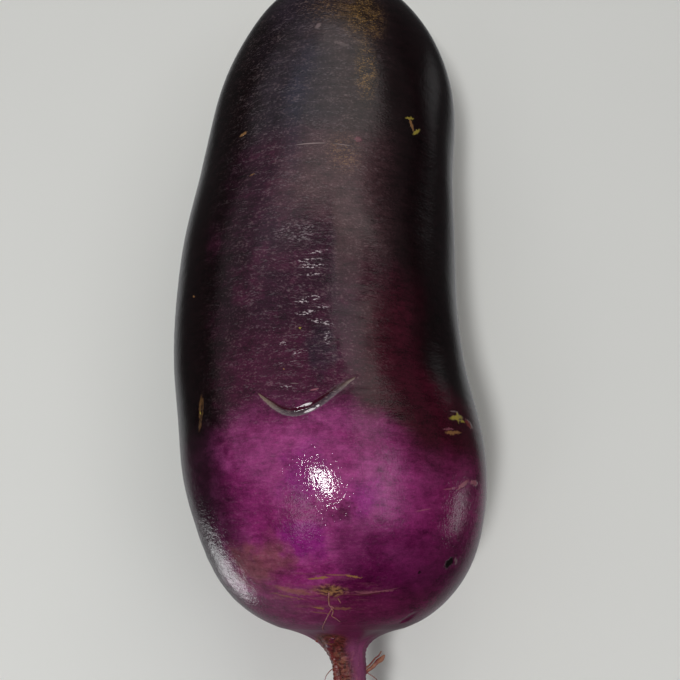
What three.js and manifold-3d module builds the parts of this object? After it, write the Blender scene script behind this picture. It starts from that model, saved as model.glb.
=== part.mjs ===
// Purple daikon radish: one swollen root with a tail-like taproot, and the cut leaf stubs on its crown.
//
// Millimetres, +Z up. The root lies on its side along Y, with the crown towards +Y and the taproot
// towards -Y. The origin is on the flat strip of the belly that the root rests on.

import * as THREE from 'three';
import { mergeVertices } from 'three/addons/utils/BufferGeometryUtils.js';
import Module from 'manifold-3d';

const wasm = await Module();
wasm.setup();

// ---- Driving dimensions -------------------------------------------------------------------------

// Free radius of the swollen root, before its ends are rounded off: [y, radius].
const FREE_RADIUS = [
  [-77, 37.0],
  [-57, 35.5],
  [-37, 36.3],
  [-17, 35.4],
  [8, 34.8],
  [33, 33.0],
  [58, 32.6],
  [83, 31.7],
];

// Centre line of the root and the taproot: [y, sideways bow, height].
const CENTRE_LINE = [
  [-131, 13.5, 26.5],
  [-118, 9.4, 29.6],
  [-104, 6.6, 32.2],
  [-88, 5.6, 33.8],
  [-83, 4.3, 34.5],
  [-77, 3.8, 35.0],
  [-57, 3.2, 35.5],
  [-37, 1.3, 35.7],
  [-17, -2.1, 34.8],
  [8, -2.5, 34.2],
  [33, 0.0, 32.5],
  [58, 2.4, 30.8],
  [83, 3.1, 29.0],
];

// Each end closes as a superellipse: where it ends, how long it takes, and how full it is.
const CROWN_END = { y: 92.5, length: 59, fullness: 2.3 };
const TAIL_END = { y: -81.1, length: 41.3, fullness: 2.3 };

// The blunt tail draws out into the taproot over a few millimetres.
const FLARE_START_Y = -79.05;
const FLARE_RISE = 10.6;
const FLARE_FALL = 2.3;
const TAPROOT_RADIUS = 3.6;
const TAPROOT_TIP_RADIUS = 1.1;
const TAPROOT_TAPER_START_Y = -86;
const TAPROOT_TIP_Y = -131;
const TAPROOT_RING_PITCH = 3.2;
const TAPROOT_RING_DEPTH = 0.14;

// Crown: a rim where the skin stops, and a shallow dish that the leaf stubs stand in.
const RIM_Y = 89;
const RIM_ROUNDING = 0.5;
const DISH_DEPTH = 1.6;
const DISH_WALL = 1.3;
const SEAT_GAP = 0.3;

// Low lobes that keep the cross-section from being a true circle.
const LOBES = [
  { count: 3, height: 0.22, twist: 0.021, phase: 0.6 },
  { count: 5, height: 0.14, twist: -0.034, phase: 2.1 },
];

const SIDES = 40;
const BODY_RINGS = 44;
const FLARE_RINGS = 12;
const LOWEST_Z = 0;

// Crescent crack in the skin, as it is seen from above: [x, y].
const CRACK_PATH = [
  [-13.2, -30.6],
  [-10.4, -33.2],
  [-6.5, -35.6],
  [-4.0, -35.8],
  [0.0, -33.9],
  [3.3, -31.4],
  [6.4, -27.8],
];
const CRACK_HALF_WIDTH = 0.8;

// Scar of a side root near the tail: a creased line across the skin with a corky lens on it.
const CREASE_PATH = [
  [-8.5, -70.0],
  [-3.0, -70.6],
  [4.0, -70.9],
  [10.0, -70.9],
  [16.0, -70.6],
];
const CREASE_HALF_WIDTH = 0.55;
const CORK_CENTRE = [1.6, -70.7];
const CORK_HALF_SIZE = [3.6, 1.1, 0.9];

// Spindle-shaped scar on the left flank, and the crescent dent beside the tail: [x, y] from above.
const FLANK_SCAR_PATH = [
  [-26.0, -29.9],
  [-27.0, -33.3],
  [-28.0, -36.7],
];
const FLANK_SCAR_HALF_WIDTH = 0.75;
const TAIL_DENT_PATH = [
  [16.5, -77.6],
  [18.2, -76.6],
  [19.6, -75.2],
];
const TAIL_DENT_HALF_WIDTH = 1.0;

// A side root that hugs the taproot and fuses with the flare: [x, y, z].
const STRAND_PATH = [
  [1.6, -79.9, 41.5],
  [1.2, -82.3, 38.6],
  [1.9, -84.6, 36.9],
  [2.6, -87.5, 36.0],
  [2.9, -92.0, 35.5],
  [3.6, -98.0, 34.6],
  [5.2, -105.0, 33.2],
];
const STRAND_RADIUS = 1.5;
const STRAND_TIP_RADIUS = 0.8;

// Rootlets beside the tail: a flattened, dried one on the right and a spike on the left.
const DRIED_ROOTLET_PATH = [
  [6.2, -91.0, 33.6],
  [9.2, -88.9, 34.0],
  [11.4, -86.9, 34.3],
  [13.5, -85.1, 34.4],
];
const SPIKE_PATH = [
  [3.0, -81.0, 36.0],
  [0.0, -81.3, 36.2],
  [-2.5, -81.8, 36.0],
];

// Rootlets in two rows down the taproot, one row on each side.
const ROOTLETS = 10;
const ROOTLETS_FROM_Y = -93;
const ROOTLETS_TO_Y = -128;
const ROOTLET_LENGTH = [4, 15];
const ROOTLET_SWING = 40;
const ROOTLET_RADIUS = 0.62;
const ROOTLET_TIP_RADIUS = 0.42;
const ROOTLET_SEED = 23;

// Leaf stubs: cut stalks set out along a golden-angle spiral, the oldest outermost.
const STUBS = 17;
const GOLDEN_ANGLE = THREE.MathUtils.degToRad(137.508);
const STUB_WIDTH = [2.6, 6.4];
const STUB_THICKNESS = [2.0, 3.6];
const STUB_LEAN = [2, 16];
const STUB_SPREAD = 8.6;
const STUB_LENGTH = 14;
const STUB_FOOT = 0.9;
const CUT_HEIGHT = 8.8;
const CUT_TILT = 7;
const HEART_RISE = 1.5;

const SKIN = new THREE.MeshStandardMaterial({ color: 0x4d1238, roughness: 0.32, metalness: 0 });
const STALK = new THREE.MeshStandardMaterial({ color: 0x9aa45e, roughness: 0.6, metalness: 0 });

// ---- Small tools --------------------------------------------------------------------------------

const { clamp, lerp, degToRad } = THREE.MathUtils;

// Smooth curve through rows of [y, value, ...], read at y; beyond its ends it runs on straight.
function along(rows, column, y) {
  const last = rows.length - 1;
  const slope = (i) => {
    const before = rows[Math.max(i - 1, 0)];
    const after = rows[Math.min(i + 1, last)];
    return (after[column] - before[column]) / (after[0] - before[0]);
  };
  if (y <= rows[0][0]) return rows[0][column] + slope(0) * (y - rows[0][0]);
  if (y >= rows[last][0]) return rows[last][column] + slope(last) * (y - rows[last][0]);
  let i = 0;
  while (y > rows[i + 1][0]) i += 1;
  const span = rows[i + 1][0] - rows[i][0];
  const t = (y - rows[i][0]) / span;
  const start = (2 * t ** 3 - 3 * t ** 2 + 1) * rows[i][column];
  const end = (3 * t ** 2 - 2 * t ** 3) * rows[i + 1][column];
  const lean = (t ** 3 - 2 * t ** 2 + t) * slope(i) + (t ** 3 - t ** 2) * slope(i + 1);
  return start + end + span * lean;
}

// Share of the full radius left at a distance inside a rounded end.
function roundOff(end, inside) {
  const t = clamp(inside / end.length, 0, 1);
  return (1 - (1 - t) ** end.fullness) ** (1 / end.fullness);
}

// Repeatable random numbers from 0 to 1.
function randomFrom(seed) {
  let state = seed;
  return () => {
    state = (state * 16807) % 2147483647;
    return state / 2147483647;
  };
}

function solidOf(geometry) {
  geometry.deleteAttribute('normal');
  geometry.deleteAttribute('uv');
  const merged = mergeVertices(geometry, 1e-4);
  return new wasm.Manifold(new wasm.Mesh({
    numProp: 3,
    vertProperties: new Float32Array(merged.attributes.position.array),
    triVerts: new Uint32Array(merged.index.array),
  }));
}

function meshOf(solid, material, name) {
  const { vertProperties, triVerts } = solid.getMesh();
  const geometry = new THREE.BufferGeometry();
  geometry.setAttribute('position', new THREE.BufferAttribute(vertProperties, 3));
  geometry.setIndex(new THREE.BufferAttribute(triVerts, 1));
  geometry.computeVertexNormals();
  const mesh = new THREE.Mesh(geometry, material);
  mesh.name = name;
  return mesh;
}

// A lathed bar whose rings are carried onto a curve; radiusAt runs from 0 at its start to 1.
function barAlong(curve, steps, sides, radiusAt, flatness = 1) {
  const profile = [new THREE.Vector2(0, 0)];
  for (let i = 0; i <= steps; i += 1) profile.push(new THREE.Vector2(radiusAt(i / steps), i));
  profile.push(new THREE.Vector2(0, steps));
  const geometry = new THREE.LatheGeometry(profile, sides);
  const frames = curve.computeFrenetFrames(steps);
  const position = geometry.attributes.position;
  const point = new THREE.Vector3();
  for (let k = 0; k < position.count; k += 1) {
    const ring = Math.round(position.getY(k));
    point.copy(curve.getPointAt(ring / steps));
    point.addScaledVector(frames.normals[ring], position.getX(k));
    point.addScaledVector(frames.binormals[ring], -position.getZ(k) * flatness);
    position.setXYZ(k, point.x, point.y, point.z);
  }
  return solidOf(geometry);
}

function curveThrough(points) {
  return new THREE.CatmullRomCurve3(points.map((p) => new THREE.Vector3(...p)));
}

// ---- The root's form ----------------------------------------------------------------------------

function domeRadius(y) {
  const crown = roundOff(CROWN_END, CROWN_END.y - y);
  const tail = roundOff(TAIL_END, y - TAIL_END.y);
  return along(FREE_RADIUS, 1, y) * crown * tail;
}

function taprootRadius(y) {
  const t = clamp((TAPROOT_TAPER_START_Y - y) / (TAPROOT_TAPER_START_Y - TAPROOT_TIP_Y), 0, 1);
  const flare = FLARE_RISE * Math.exp((y - FLARE_START_Y) / FLARE_FALL);
  const rings = TAPROOT_RING_DEPTH * Math.min(t * 8, 1) * Math.cos((2 * Math.PI * y) / TAPROOT_RING_PITCH);
  return lerp(TAPROOT_RADIUS, TAPROOT_TIP_RADIUS, t) + flare + rings;
}

function rootRadius(y) {
  return y < FLARE_START_Y ? taprootRadius(y) : domeRadius(y);
}

// The lobes fade out where the root narrows, so that its ends stay round.
function lobeHeight(angle, y) {
  const fade = clamp((domeRadius(y) - 14) / 12, 0, 1);
  return LOBES.reduce((sum, { count, height, twist, phase }) => (
    sum + fade * height * Math.cos(count * angle + twist * y * count + phase)
  ), 0);
}

// The point of the skin that is straight above [x, y], sunk by a depth.
function skinAbove([x, y], depth = 0) {
  const cx = along(CENTRE_LINE, 1, y);
  const cz = along(CENTRE_LINE, 2, y);
  const side = x - cx;
  let radius = domeRadius(y);
  const angle = Math.acos(clamp(side / radius, -1, 1));
  radius += lobeHeight(angle, y) - depth;
  return [cx + radius * Math.cos(angle), y, cz + radius * Math.sin(angle)];
}

// Half of the profile, from the taproot's tip on the axis to the dish in the crown.
function rootProfile() {
  const profile = [new THREE.Vector2(0, TAPROOT_TIP_Y - TAPROOT_TIP_RADIUS)];
  profile.push(new THREE.Vector2(TAPROOT_TIP_RADIUS * 0.7, TAPROOT_TIP_Y - TAPROOT_TIP_RADIUS * 0.7));
  const ringStep = TAPROOT_RING_PITCH / 2;
  const ringCount = Math.round((TAPROOT_TAPER_START_Y - TAPROOT_TIP_Y) / ringStep);
  for (let i = 0; i < ringCount; i += 1) {
    const y = TAPROOT_TIP_Y + i * ringStep;
    profile.push(new THREE.Vector2(rootRadius(y), y));
  }
  for (let i = 0; i < FLARE_RINGS; i += 1) {
    const t = (i / FLARE_RINGS) ** 0.75;
    const y = lerp(TAPROOT_TAPER_START_Y, FLARE_START_Y, t);
    profile.push(new THREE.Vector2(rootRadius(y), y));
  }
  for (let i = 0; i <= BODY_RINGS; i += 1) {
    const t = i / BODY_RINGS;
    const eased = lerp(t, (1 - Math.cos(Math.PI * t)) / 2, 0.72);
    const y = lerp(FLARE_START_Y, RIM_Y, eased);
    profile.push(new THREE.Vector2(rootRadius(y), y));
  }
  const rim = rootRadius(RIM_Y);
  profile.push(new THREE.Vector2(rim - RIM_ROUNDING, RIM_Y + RIM_ROUNDING * 0.6));
  profile.push(new THREE.Vector2(rim - DISH_WALL, RIM_Y));
  profile.push(new THREE.Vector2(rim - DISH_WALL, RIM_Y - DISH_DEPTH));
  profile.push(new THREE.Vector2(0, RIM_Y - DISH_DEPTH));
  return profile;
}

// The lathed root, carried onto its bowed centre line, lobed, and flattened where it rests.
function sweptRoot() {
  const geometry = new THREE.LatheGeometry(rootProfile(), SIDES);
  const position = geometry.attributes.position;
  for (let k = 0; k < position.count; k += 1) {
    const y = position.getY(k);
    const angle = Math.atan2(position.getZ(k), position.getX(k));
    const onAxis = Math.hypot(position.getX(k), position.getZ(k)) < 1e-6;
    const inDish = y > RIM_Y - DISH_DEPTH - 1e-6 && y <= RIM_Y;
    const radius = Math.hypot(position.getX(k), position.getZ(k))
      + (onAxis || inDish ? 0 : lobeHeight(angle, y));
    const x = along(CENTRE_LINE, 1, y) + radius * Math.cos(angle);
    const z = along(CENTRE_LINE, 2, y) + radius * Math.sin(angle);
    position.setXYZ(k, x, y, Math.max(z, LOWEST_Z));
  }
  return solidOf(geometry);
}

// A groove that follows the skin and closes to nothing at both ends.
function groove(path, halfWidth, sides = 8) {
  const curve = curveThrough(path.map((point) => skinAbove(point)));
  const radiusAt = (t) => 0.06 + halfWidth * Math.sin(Math.PI * t) ** 0.6;
  return barAlong(curve, 12, sides, radiusAt);
}

function corkyLens() {
  const geometry = new THREE.SphereGeometry(1, 12, 8);
  geometry.scale(...CORK_HALF_SIZE);
  geometry.translate(...skinAbove(CORK_CENTRE, CORK_HALF_SIZE[2] * 0.5));
  return solidOf(geometry);
}

function rootlet(points, radius, tipRadius, flatness = 1) {
  return barAlong(curveThrough(points), 5, 6, (t) => lerp(radius, tipRadius, t), flatness);
}

// Rootlets leave the taproot in two rough rows, each swung about it, and trail towards its tip.
function taprootRootlets() {
  const random = randomFrom(ROOTLET_SEED);
  const rootlets = [];
  for (let i = 0; i < ROOTLETS; i += 1) {
    const y = lerp(ROOTLETS_FROM_Y, ROOTLETS_TO_Y, (i + random()) / ROOTLETS);
    const swing = degToRad(lerp(-ROOTLET_SWING, ROOTLET_SWING, random()));
    const heading = (i % 2) * Math.PI + swing;
    const length = lerp(...ROOTLET_LENGTH, random() ** 1.5);
    const trail = lerp(-0.2, 1.3, random());
    const droop = lerp(0, 0.4, random());
    const root = [along(CENTRE_LINE, 1, y), y, along(CENTRE_LINE, 2, y)];
    const step = (out, back, down) => [
      root[0] + length * out * Math.cos(heading),
      root[1] - length * back,
      root[2] + length * (out * Math.sin(heading) - down),
    ];
    rootlets.push(rootlet([
      step(0, 0, 0),
      step(0.4, trail * 0.1, 0),
      step(0.7, trail * 0.5, droop * 0.4),
      step(0.85, trail, droop),
    ], ROOTLET_RADIUS, ROOTLET_TIP_RADIUS));
  }
  return rootlets;
}

function radishRoot() {
  let root = sweptRoot();
  root = root.subtract(groove(CRACK_PATH, CRACK_HALF_WIDTH));
  root = root.subtract(groove(CREASE_PATH, CREASE_HALF_WIDTH, 6));
  root = root.subtract(groove(FLANK_SCAR_PATH, FLANK_SCAR_HALF_WIDTH, 6));
  root = root.subtract(groove(TAIL_DENT_PATH, TAIL_DENT_HALF_WIDTH, 6));
  root = root.add(corkyLens());
  const strand = barAlong(curveThrough(STRAND_PATH), 16, 8, (t) => (
    lerp(STRAND_RADIUS, STRAND_TIP_RADIUS, t)
  ));
  const growths = [
    strand,
    rootlet(DRIED_ROOTLET_PATH, 0.9, 0.95, 0.6),
    rootlet(SPIKE_PATH, 1.1, 0.4),
    ...taprootRootlets(),
  ];
  growths.forEach((growth) => { root = root.add(growth); });
  return meshOf(root, SKIN, 'radish_root');
}

// ---- The leaf stubs -----------------------------------------------------------------------------

// Cross-section of a leaf stalk: round on the outside, slightly hollow towards the heart.
function stalkSection(width, thickness) {
  const shape = new THREE.Shape();
  shape.moveTo(-width / 2, 0);
  shape.bezierCurveTo(-width * 0.46, -thickness, width * 0.46, -thickness, width / 2, 0);
  shape.quadraticCurveTo(0, thickness * -0.18, -width / 2, 0);
  return shape;
}

// One stalk, standing on the crown and leaning away from its heart. Its base is sunk in the heart.
function leafStub(index) {
  const age = Math.sqrt((index + 0.5) / STUBS);
  const section = stalkSection(lerp(...STUB_WIDTH, age), lerp(...STUB_THICKNESS, age));
  const geometry = new THREE.ExtrudeGeometry(section, {
    depth: STUB_LENGTH,
    steps: 1,
    curveSegments: 5,
    bevelEnabled: false,
  });
  geometry.rotateX(degToRad(lerp(...STUB_LEAN, age)));
  geometry.rotateX(-Math.PI / 2);
  geometry.rotateY(index * GOLDEN_ANGLE);
  const out = STUB_SPREAD * age;
  const angle = index * GOLDEN_ANGLE;
  geometry.translate(out * Math.sin(angle), STUB_FOOT, out * Math.cos(angle));
  return solidOf(geometry);
}

function leafStubs() {
  const seatRadius = rootRadius(RIM_Y) - DISH_WALL - SEAT_GAP;
  const profile = [
    new THREE.Vector2(0, 0),
    new THREE.Vector2(seatRadius, 0),
    new THREE.Vector2(seatRadius, DISH_DEPTH - SEAT_GAP),
    new THREE.Vector2(seatRadius * 0.7, DISH_DEPTH + HEART_RISE * 0.6),
    new THREE.Vector2(0, DISH_DEPTH + HEART_RISE),
  ];
  let stubs = solidOf(new THREE.LatheGeometry(profile, 28));
  for (let i = 0; i < STUBS; i += 1) stubs = stubs.add(leafStub(i));
  const knife = new THREE.BoxGeometry(60, 30, 60);
  knife.translate(0, 15 + CUT_HEIGHT, 0);
  knife.rotateX(degToRad(CUT_TILT));
  stubs = stubs.subtract(solidOf(knife));
  const mesh = meshOf(stubs, STALK, 'leaf_stubs');
  mesh.position.set(
    along(CENTRE_LINE, 1, RIM_Y),
    RIM_Y - DISH_DEPTH + SEAT_GAP,
    along(CENTRE_LINE, 2, RIM_Y),
  );
  return mesh;
}

const radish = new THREE.Group();
radish.add(radishRoot(), leafStubs());

export default radish;
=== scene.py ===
# A whole purple daikon radish: its skin, taproot, rootlets and trimmed leaf stalks, on a small stage.
#
# Metres, +Z up. The root lies on its side along Y, with the crown towards +Y and the taproot towards -Y.
# Places on the skin are given as [x, y], seen from above; the form gives their height.

import math

import bpy
import numpy as np
from bpy.props import FloatProperty, FloatVectorProperty, IntProperty, PointerProperty
from mathutils import Matrix, Vector, noise


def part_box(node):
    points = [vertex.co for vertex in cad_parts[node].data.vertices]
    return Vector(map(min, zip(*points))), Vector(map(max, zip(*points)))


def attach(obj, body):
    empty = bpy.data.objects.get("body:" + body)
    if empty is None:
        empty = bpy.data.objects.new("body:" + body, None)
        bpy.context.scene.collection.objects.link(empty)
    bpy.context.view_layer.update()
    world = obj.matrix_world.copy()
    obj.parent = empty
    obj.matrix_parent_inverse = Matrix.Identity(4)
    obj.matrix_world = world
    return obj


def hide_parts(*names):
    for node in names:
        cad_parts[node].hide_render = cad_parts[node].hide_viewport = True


bl_info = {
    "name": "Purple Daikon Radish",
    "version": (1, 0, 0),
    "blender": (4, 5, 0),
    "location": "View3D > Sidebar > Radish",
    "description": "Builds a purple daikon radish with its taproot, rootlets and leaf stalks",
    "category": "Add Mesh",
}

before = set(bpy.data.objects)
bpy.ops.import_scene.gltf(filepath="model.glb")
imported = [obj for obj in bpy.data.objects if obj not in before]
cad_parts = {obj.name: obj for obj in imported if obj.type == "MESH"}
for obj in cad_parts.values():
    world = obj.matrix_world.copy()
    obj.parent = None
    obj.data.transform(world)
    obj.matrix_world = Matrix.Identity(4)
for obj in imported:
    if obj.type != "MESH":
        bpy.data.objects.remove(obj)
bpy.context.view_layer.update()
ROOT_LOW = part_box("radish_root")[0]
MM = 0.001
MERGE_DISTANCE = 0.001 * MM


def mm(*rows):
    """Rows of millimetres as metres."""
    return [tuple(value * MM for value in row) for row in rows]


# ---- Driving dimensions ----------------------------------

# Free radius of the swollen root, before its ends are rounded off: (y, radius).
FREE_RADIUS = mm(
    (-77, 37), (-57, 35.5), (-37, 36.3), (-17, 35.4), (8, 34.8), (33, 33), (58, 32.6), (83, 31.7))

# Centre line of the root and the taproot: (y, sideways bow, height).
CENTRE_LINE = mm(
    (-131, 13.5, 26.5), (-118, 9.4, 29.6), (-104, 6.6, 32.2), (-88, 5.6, 33.8), (-83, 4.3, 34.5),
    (-77, 3.8, 35), (-57, 3.2, 35.5), (-37, 1.3, 35.7), (-17, -2.1, 34.8), (8, -2.5, 34.2),
    (33, 0, 32.5), (58, 2.4, 30.8), (83, 3.1, 29))

# Each end closes as a superellipse: where it ends, how long it takes, and how full it is.
CROWN_END = (0.0925, 0.059, 2.3)
TAIL_END = (-0.0811, 0.0413, 2.3)

# The blunt tail draws out into the taproot over a few millimetres.
FLARE_START_Y = -0.07905
FLARE_RISE = 0.0106
FLARE_FALL = 0.0023
TAPROOT_RADIUS = 0.0036
TAPROOT_TIP_RADIUS = 0.0011
TAPROOT_TAPER_START_Y = -0.086
TAPROOT_TIP_Y = ROOT_LOW.y + TAPROOT_TIP_RADIUS

# Crown: a rim where the skin stops, and the shallow dish that the leaf stalks stand in.
RIM_Y = 0.089
RIM_ROUNDING = 0.0005
DISH_DEPTH = 0.0016
DISH_WALL = 0.0013
SEAT_GAP = 0.0003

# Low lobes that keep the cross-section from being a true circle: (count, height, twist, phase). They
# begin where the root has the start radius, and have their full height once it is thicker by the rise.
LOBES = [(3, 0.00022, 21.0, 0.6), (5, 0.00014, -34.0, 2.1)]
LOBE_START_RADIUS = 0.014
LOBE_RISE = 0.012

# The skin's mesh: sides of the cage, its subdivisions, and how much the sides crowd to the top.
CAGE_SIDES = 64
CAGE_LEVELS = 2
CROWDING = 0.35

# Spacing of the finished rings along the skin: (y, spacing). They crowd at the crack and the scars.
RING_SPACING = mm(
    (-131, 0.9), (-92, 0.7), (-84, 0.48), (-76.5, 0.42), (-73, 0.36), (-68, 0.36), (-64, 0.8),
    (-40, 0.8), (-37.2, 0.32), (-27, 0.32), (-24, 0.85), (89, 0.9))

# Crescent crack in the skin: places on it, its half width and depth, and its raised lower lip.
CRACK_PATH = mm(
    (-13.8, -30.6), (-11.2, -32.7), (-9, -34.3), (-6.4, -35.2), (-3.4, -34.7), (-0.4, -33.1),
    (2.2, -31.2), (4.8, -29.2), (7.3, -27.4))
CRACK_HALF_WIDTH = 0.00066
CRACK_LIP = 0.00014

# Scar of a side root near the tail: a creased line across the skin with a corky lens on it.
CREASE_PATH = mm((-8.5, -70), (-3, -70.6), (4, -70.9), (10, -70.9), (16, -70.6))
CREASE_HALF_WIDTH = 0.00045
CREASE_DEPTH = 0.00035
CORK_HALF_SIZE = (0.0038, 0.0013)
CORK_HEIGHT = 0.00035

# Spindle-shaped scar on the left flank and the crescent dent beside the tail: path, half width, depth.
DENTS = [
    (mm((-26, -29.9), (-27, -33.3), (-28, -36.7)), 0.0007, 0.0004),
    (mm((16.5, -77.6), (18.2, -76.6), (19.6, -75.2)), 0.0009, 0.0007),
]

# A side root that hugs the taproot and fuses with the flare.
STRAND_PATH = mm(
    (1.6, -79.9, 41.5), (1.2, -82.3, 38.6), (1.9, -84.6, 36.9), (2.6, -87.5, 36), (2.9, -92, 35.5),
    (3.6, -98, 34.6), (5.2, -105, 33.2))
STRAND_RADIUS = 0.0014
STRAND_TIP_RADIUS = 0.0008

# The skin swells round the foot of the side root, and the flare is drawn into uneven pleats.
STRAND_SWELL = 0.0007
STRAND_SWELL_REACH = 0.0021
PLEAT_HEIGHT = 0.00022
PLEATS = 7.0
FINE_PLEATS = 13.0

# Rootlets beside the tail: a flattened, dried one on the right and a spike on the left.
DRIED_ROOTLET_PATH = mm(
    (6.2, -91, 33.6), (9.2, -88.9, 34), (11.4, -86.9, 34.3), (13.5, -85.1, 34.4))
SPIKE_PATH = mm((3, -81, 36), (0, -81.3, 36.2), (-2.5, -81.8, 36))

DRIED_ROOTLET_SHARES = (0.0, 0.2, 0.6, 0.88, 1.0)
DRIED_ROOTLET_RADII = (0.0008, 0.00045, 0.00038, 0.00062, 0.0002)
DRIED_ROOTLET_FLATNESS = 0.45
DRIED_FIBRE_OFFSET = (-0.00045, 0.00055, 0.00025)
DRIED_FIBRE_RADIUS = 0.00022
SPIKE_RADIUS = 0.0011
SPIKE_TIP_RADIUS = 0.0003

# Rootlets in two rows down the taproot, one row on each side. They trail and droop by a share of
# their length.
ROOTLETS_FROM_Y = -0.093
ROOTLETS_TO_Y = -0.128
ROOTLET_LENGTH = (0.004, 0.015)
ROOTLET_SWING = math.radians(40)
ROOTLET_TRAIL = (-0.2, 1.3)
ROOTLET_DROOP = (0.0, 0.4)
ROOTLET_RADIUS = 0.00062
ROOTLET_TIP_RADIUS = 0.00028
ROOTLET_SEED = 23

# Fine hairs that lie on the blunt tail, as places on the skin, and those along the taproot.
SKIN_HAIRS = [
    mm((1.3, -71), (1.3, -73.4), (1.8, -74.2), (1.3, -75.1), (0.5, -76.6), (-0.3, -78.3),
       (-0.2, -79.2)),
    mm((1.8, -74.2), (2.1, -74.8), (1.8, -75.7), (2.5, -76.2), (3.5, -77)),
    mm((2.2, -74.1), (1.7, -73.7)),
    mm((3.2, -72.2), (3.7, -73.1)),
]
HAIR_RADIUS = 0.00013
TAPROOT_HAIRS_Y = (-0.0870, -0.1290)
TAPROOT_HAIR_LENGTH = (0.0012, 0.0050)
TAPROOT_HAIR_TRAIL = (0.1, 1.0)
HAIR_SEED = 41

# Leaf stalks: cut along a golden-angle spiral, the oldest outermost.
GOLDEN_ANGLE = math.radians(137.508)
STALK_WIDTH = (0.0026, 0.0064)
STALK_THICKNESS = (0.0020, 0.0036)
STALK_LEAN = (math.radians(2), math.radians(16))
STALK_SPREAD = 0.0086
STALK_LENGTH = 0.014
STALK_FOOT = 0.0009
STALK_SIDES = 44
STALK_SEGMENTS = 9
STALK_RIBS = 7

# Cross-section of a stalk one unit wide: its ribs' height, how full it is, how far its outer side
# stands out and how far its inner side is hollowed.
STALK_RIB_HEIGHT = 0.035
STALK_FULLNESS = 0.9
STALK_BULGE = 0.75
STALK_HOLLOW = 0.12

# The slanted cut across the stalks: its height and tilt, the fibres that dot it, for each metre, and
# the angle between two faces past which their edge stays sharp.
CUT_HEIGHT = 0.0087
CUT_TILT = math.radians(7)
CUT_FIBRES = 1100.0
SHARP_ANGLE = math.radians(38)

# Dome of the crown between the stalks: its sides, and (height, share of the seat's width).
HEART_SIDES = 72
HEART_STEPS = [
    (0.0, 1.0), (0.0006, 1.0), (0.0013, 1.0), (0.0017, 0.94), (0.0021, 0.84), (0.0025, 0.70),
    (0.0028, 0.45), (0.0030, 0.20),
]

# Refraction of the wet skin and stalks, and of the dried fibres.
FLESH_IOR = 1.42
FIBRE_IOR = 1.45

# The stage: where the camera stands, which way it looks and its lens.
CAMERA_PLACE = (0.006464, -0.069799, 0.262223)
CAMERA_LOOK = (math.tan(math.radians(-0.82465)), math.tan(math.radians(14.61317)), -1.0)
LENS_MM = 50.0
SENSOR_MM = 36.0
FLOOR_SIZE = 6.0
# The floor fades from its colour to dark between these distances from the middle: a painted pool of
# light.
FLOOR_FADE = (0.16, 0.50)

# Tube lights overhead: name, place, (length, width), heading, and radiance.
TUBES = [
    ("key tube", (-0.225, -0.375, 1.2), (0.15, 0.17), 36, 82.0),
    ("key tube end", (-0.78, -0.82, 1.2), (0.60, 0.26), 33, 1.8),
]

# Soft panels round the radish, as slopes from straight up: to the side and ahead, each with where its
# light starts, is full, starts to fall and ends; then strength and tint.
PANELS = [
    ((0.31, 0.33, 0.66, 0.90), (0.36, 0.48, 0.52, 0.68), 1.05, (1.0, 0.92, 0.88)),
    ((0.66, 0.90, 1.25, 2.00), (0.50, 0.60, 0.64, 0.78), 0.90, (1.0, 0.92, 0.88)),
    ((0.22, 0.29, 0.56, 0.80), (0.02, 0.14, 0.34, 0.44), 0.66, (1.0, 0.94, 0.92)),
    ((0.24, 0.36, 0.85, 1.30), (-0.62, -0.50, 0.02, 0.14), 0.58, (0.98, 0.97, 1.0)),
    ((0.58, 0.67, 0.79, 0.92), (-0.60, -0.45, -0.05, 0.20), 0.90, (0.95, 0.96, 1.0)),
    ((-0.65, -0.30, 0.60, 1.40), (0.50, 0.66, 2.40, 4.00), 0.75, (1.0, 0.98, 0.95)),
    ((-0.30, 0.00, 0.60, 1.00), (0.52, 0.66, 1.05, 1.30), 0.35, (1.0, 0.92, 0.86)),
    ((-1.30, -0.90, -0.60, -0.30), (0.35, 0.65, 1.60, 2.20), 0.35, (0.90, 0.95, 1.0)),
    ((-0.95, -0.75, -0.60, -0.45), (0.95, 1.20, 1.80, 2.30), 0.30, (0.35, 0.50, 1.0)),
]

# Bright streaks that the wet flanks mirror from below: direction, outer and inner angle, strength.
STREAKS = [
    ((-0.650, -0.406, -0.643), 15.0, 2.8, 3.2),
    ((-0.604, -0.720, -0.342), 30.0, 8.0, 0.25),
    ((0.930, -0.130, -0.340), 10.0, 2.0, 0.30),
    ((0.945, -0.190, -0.250), 7.5, 1.4, 2.00),
    ((0.755, 0.569, -0.326), 10.0, 4.0, 0.25),
]

# Marks on the skin are given in millimetres and degrees: place, half length and width, heading. Each
# reaches as far into the skin as its depth.
MARK_DEPTH = 4
PATCH_DEPTH = 20
SPECKLE_DEPTH = 30
CORK_MARK = (1.6, -70.7, 4.6, 2.2, 3)
COMBED_MARK = (-3, -71.5, 18, 7.5, 0)

# Patches of colour in the bright tail and on the dark skin: colour, mark, start of the fade, strength.
TAIL_PATCHES = [
    ("orchid", -12.5, -46, 8.5, 10, 0, 0.3, 0.6), ("orchid", 13, -50, 8, 8, 0, 0.3, 0.8),
    ("orchid", 0.5, -43, 10, 6, 0, 0.3, 0.9), ("violet", -4, -48, 6, 8, 0, 0.3, 0.9),
    ("violet", 9, -53, 5, 5, 0, 0.3, 0.8), ("violet", -3.5, -60.8, 6, 5, 5.73, 0.3, 1.5),
    ("blotch", 3.5, -55.5, 3.5, 2.2, 11.46, 0.2, 1),
    ("blotch", -10, -57.5, 3.5, 3, 28.65, 0.2, 0.7),
    ("blotch", -19, -59, 4.5, 5.5, 28.65, 0.3, 0.6), ("russet", -15, -66, 9, 7, 0, 0.2, 1.3),
    ("russet", -10, -64, 5, 6, 17.19, 0.2, 1),
]

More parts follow.
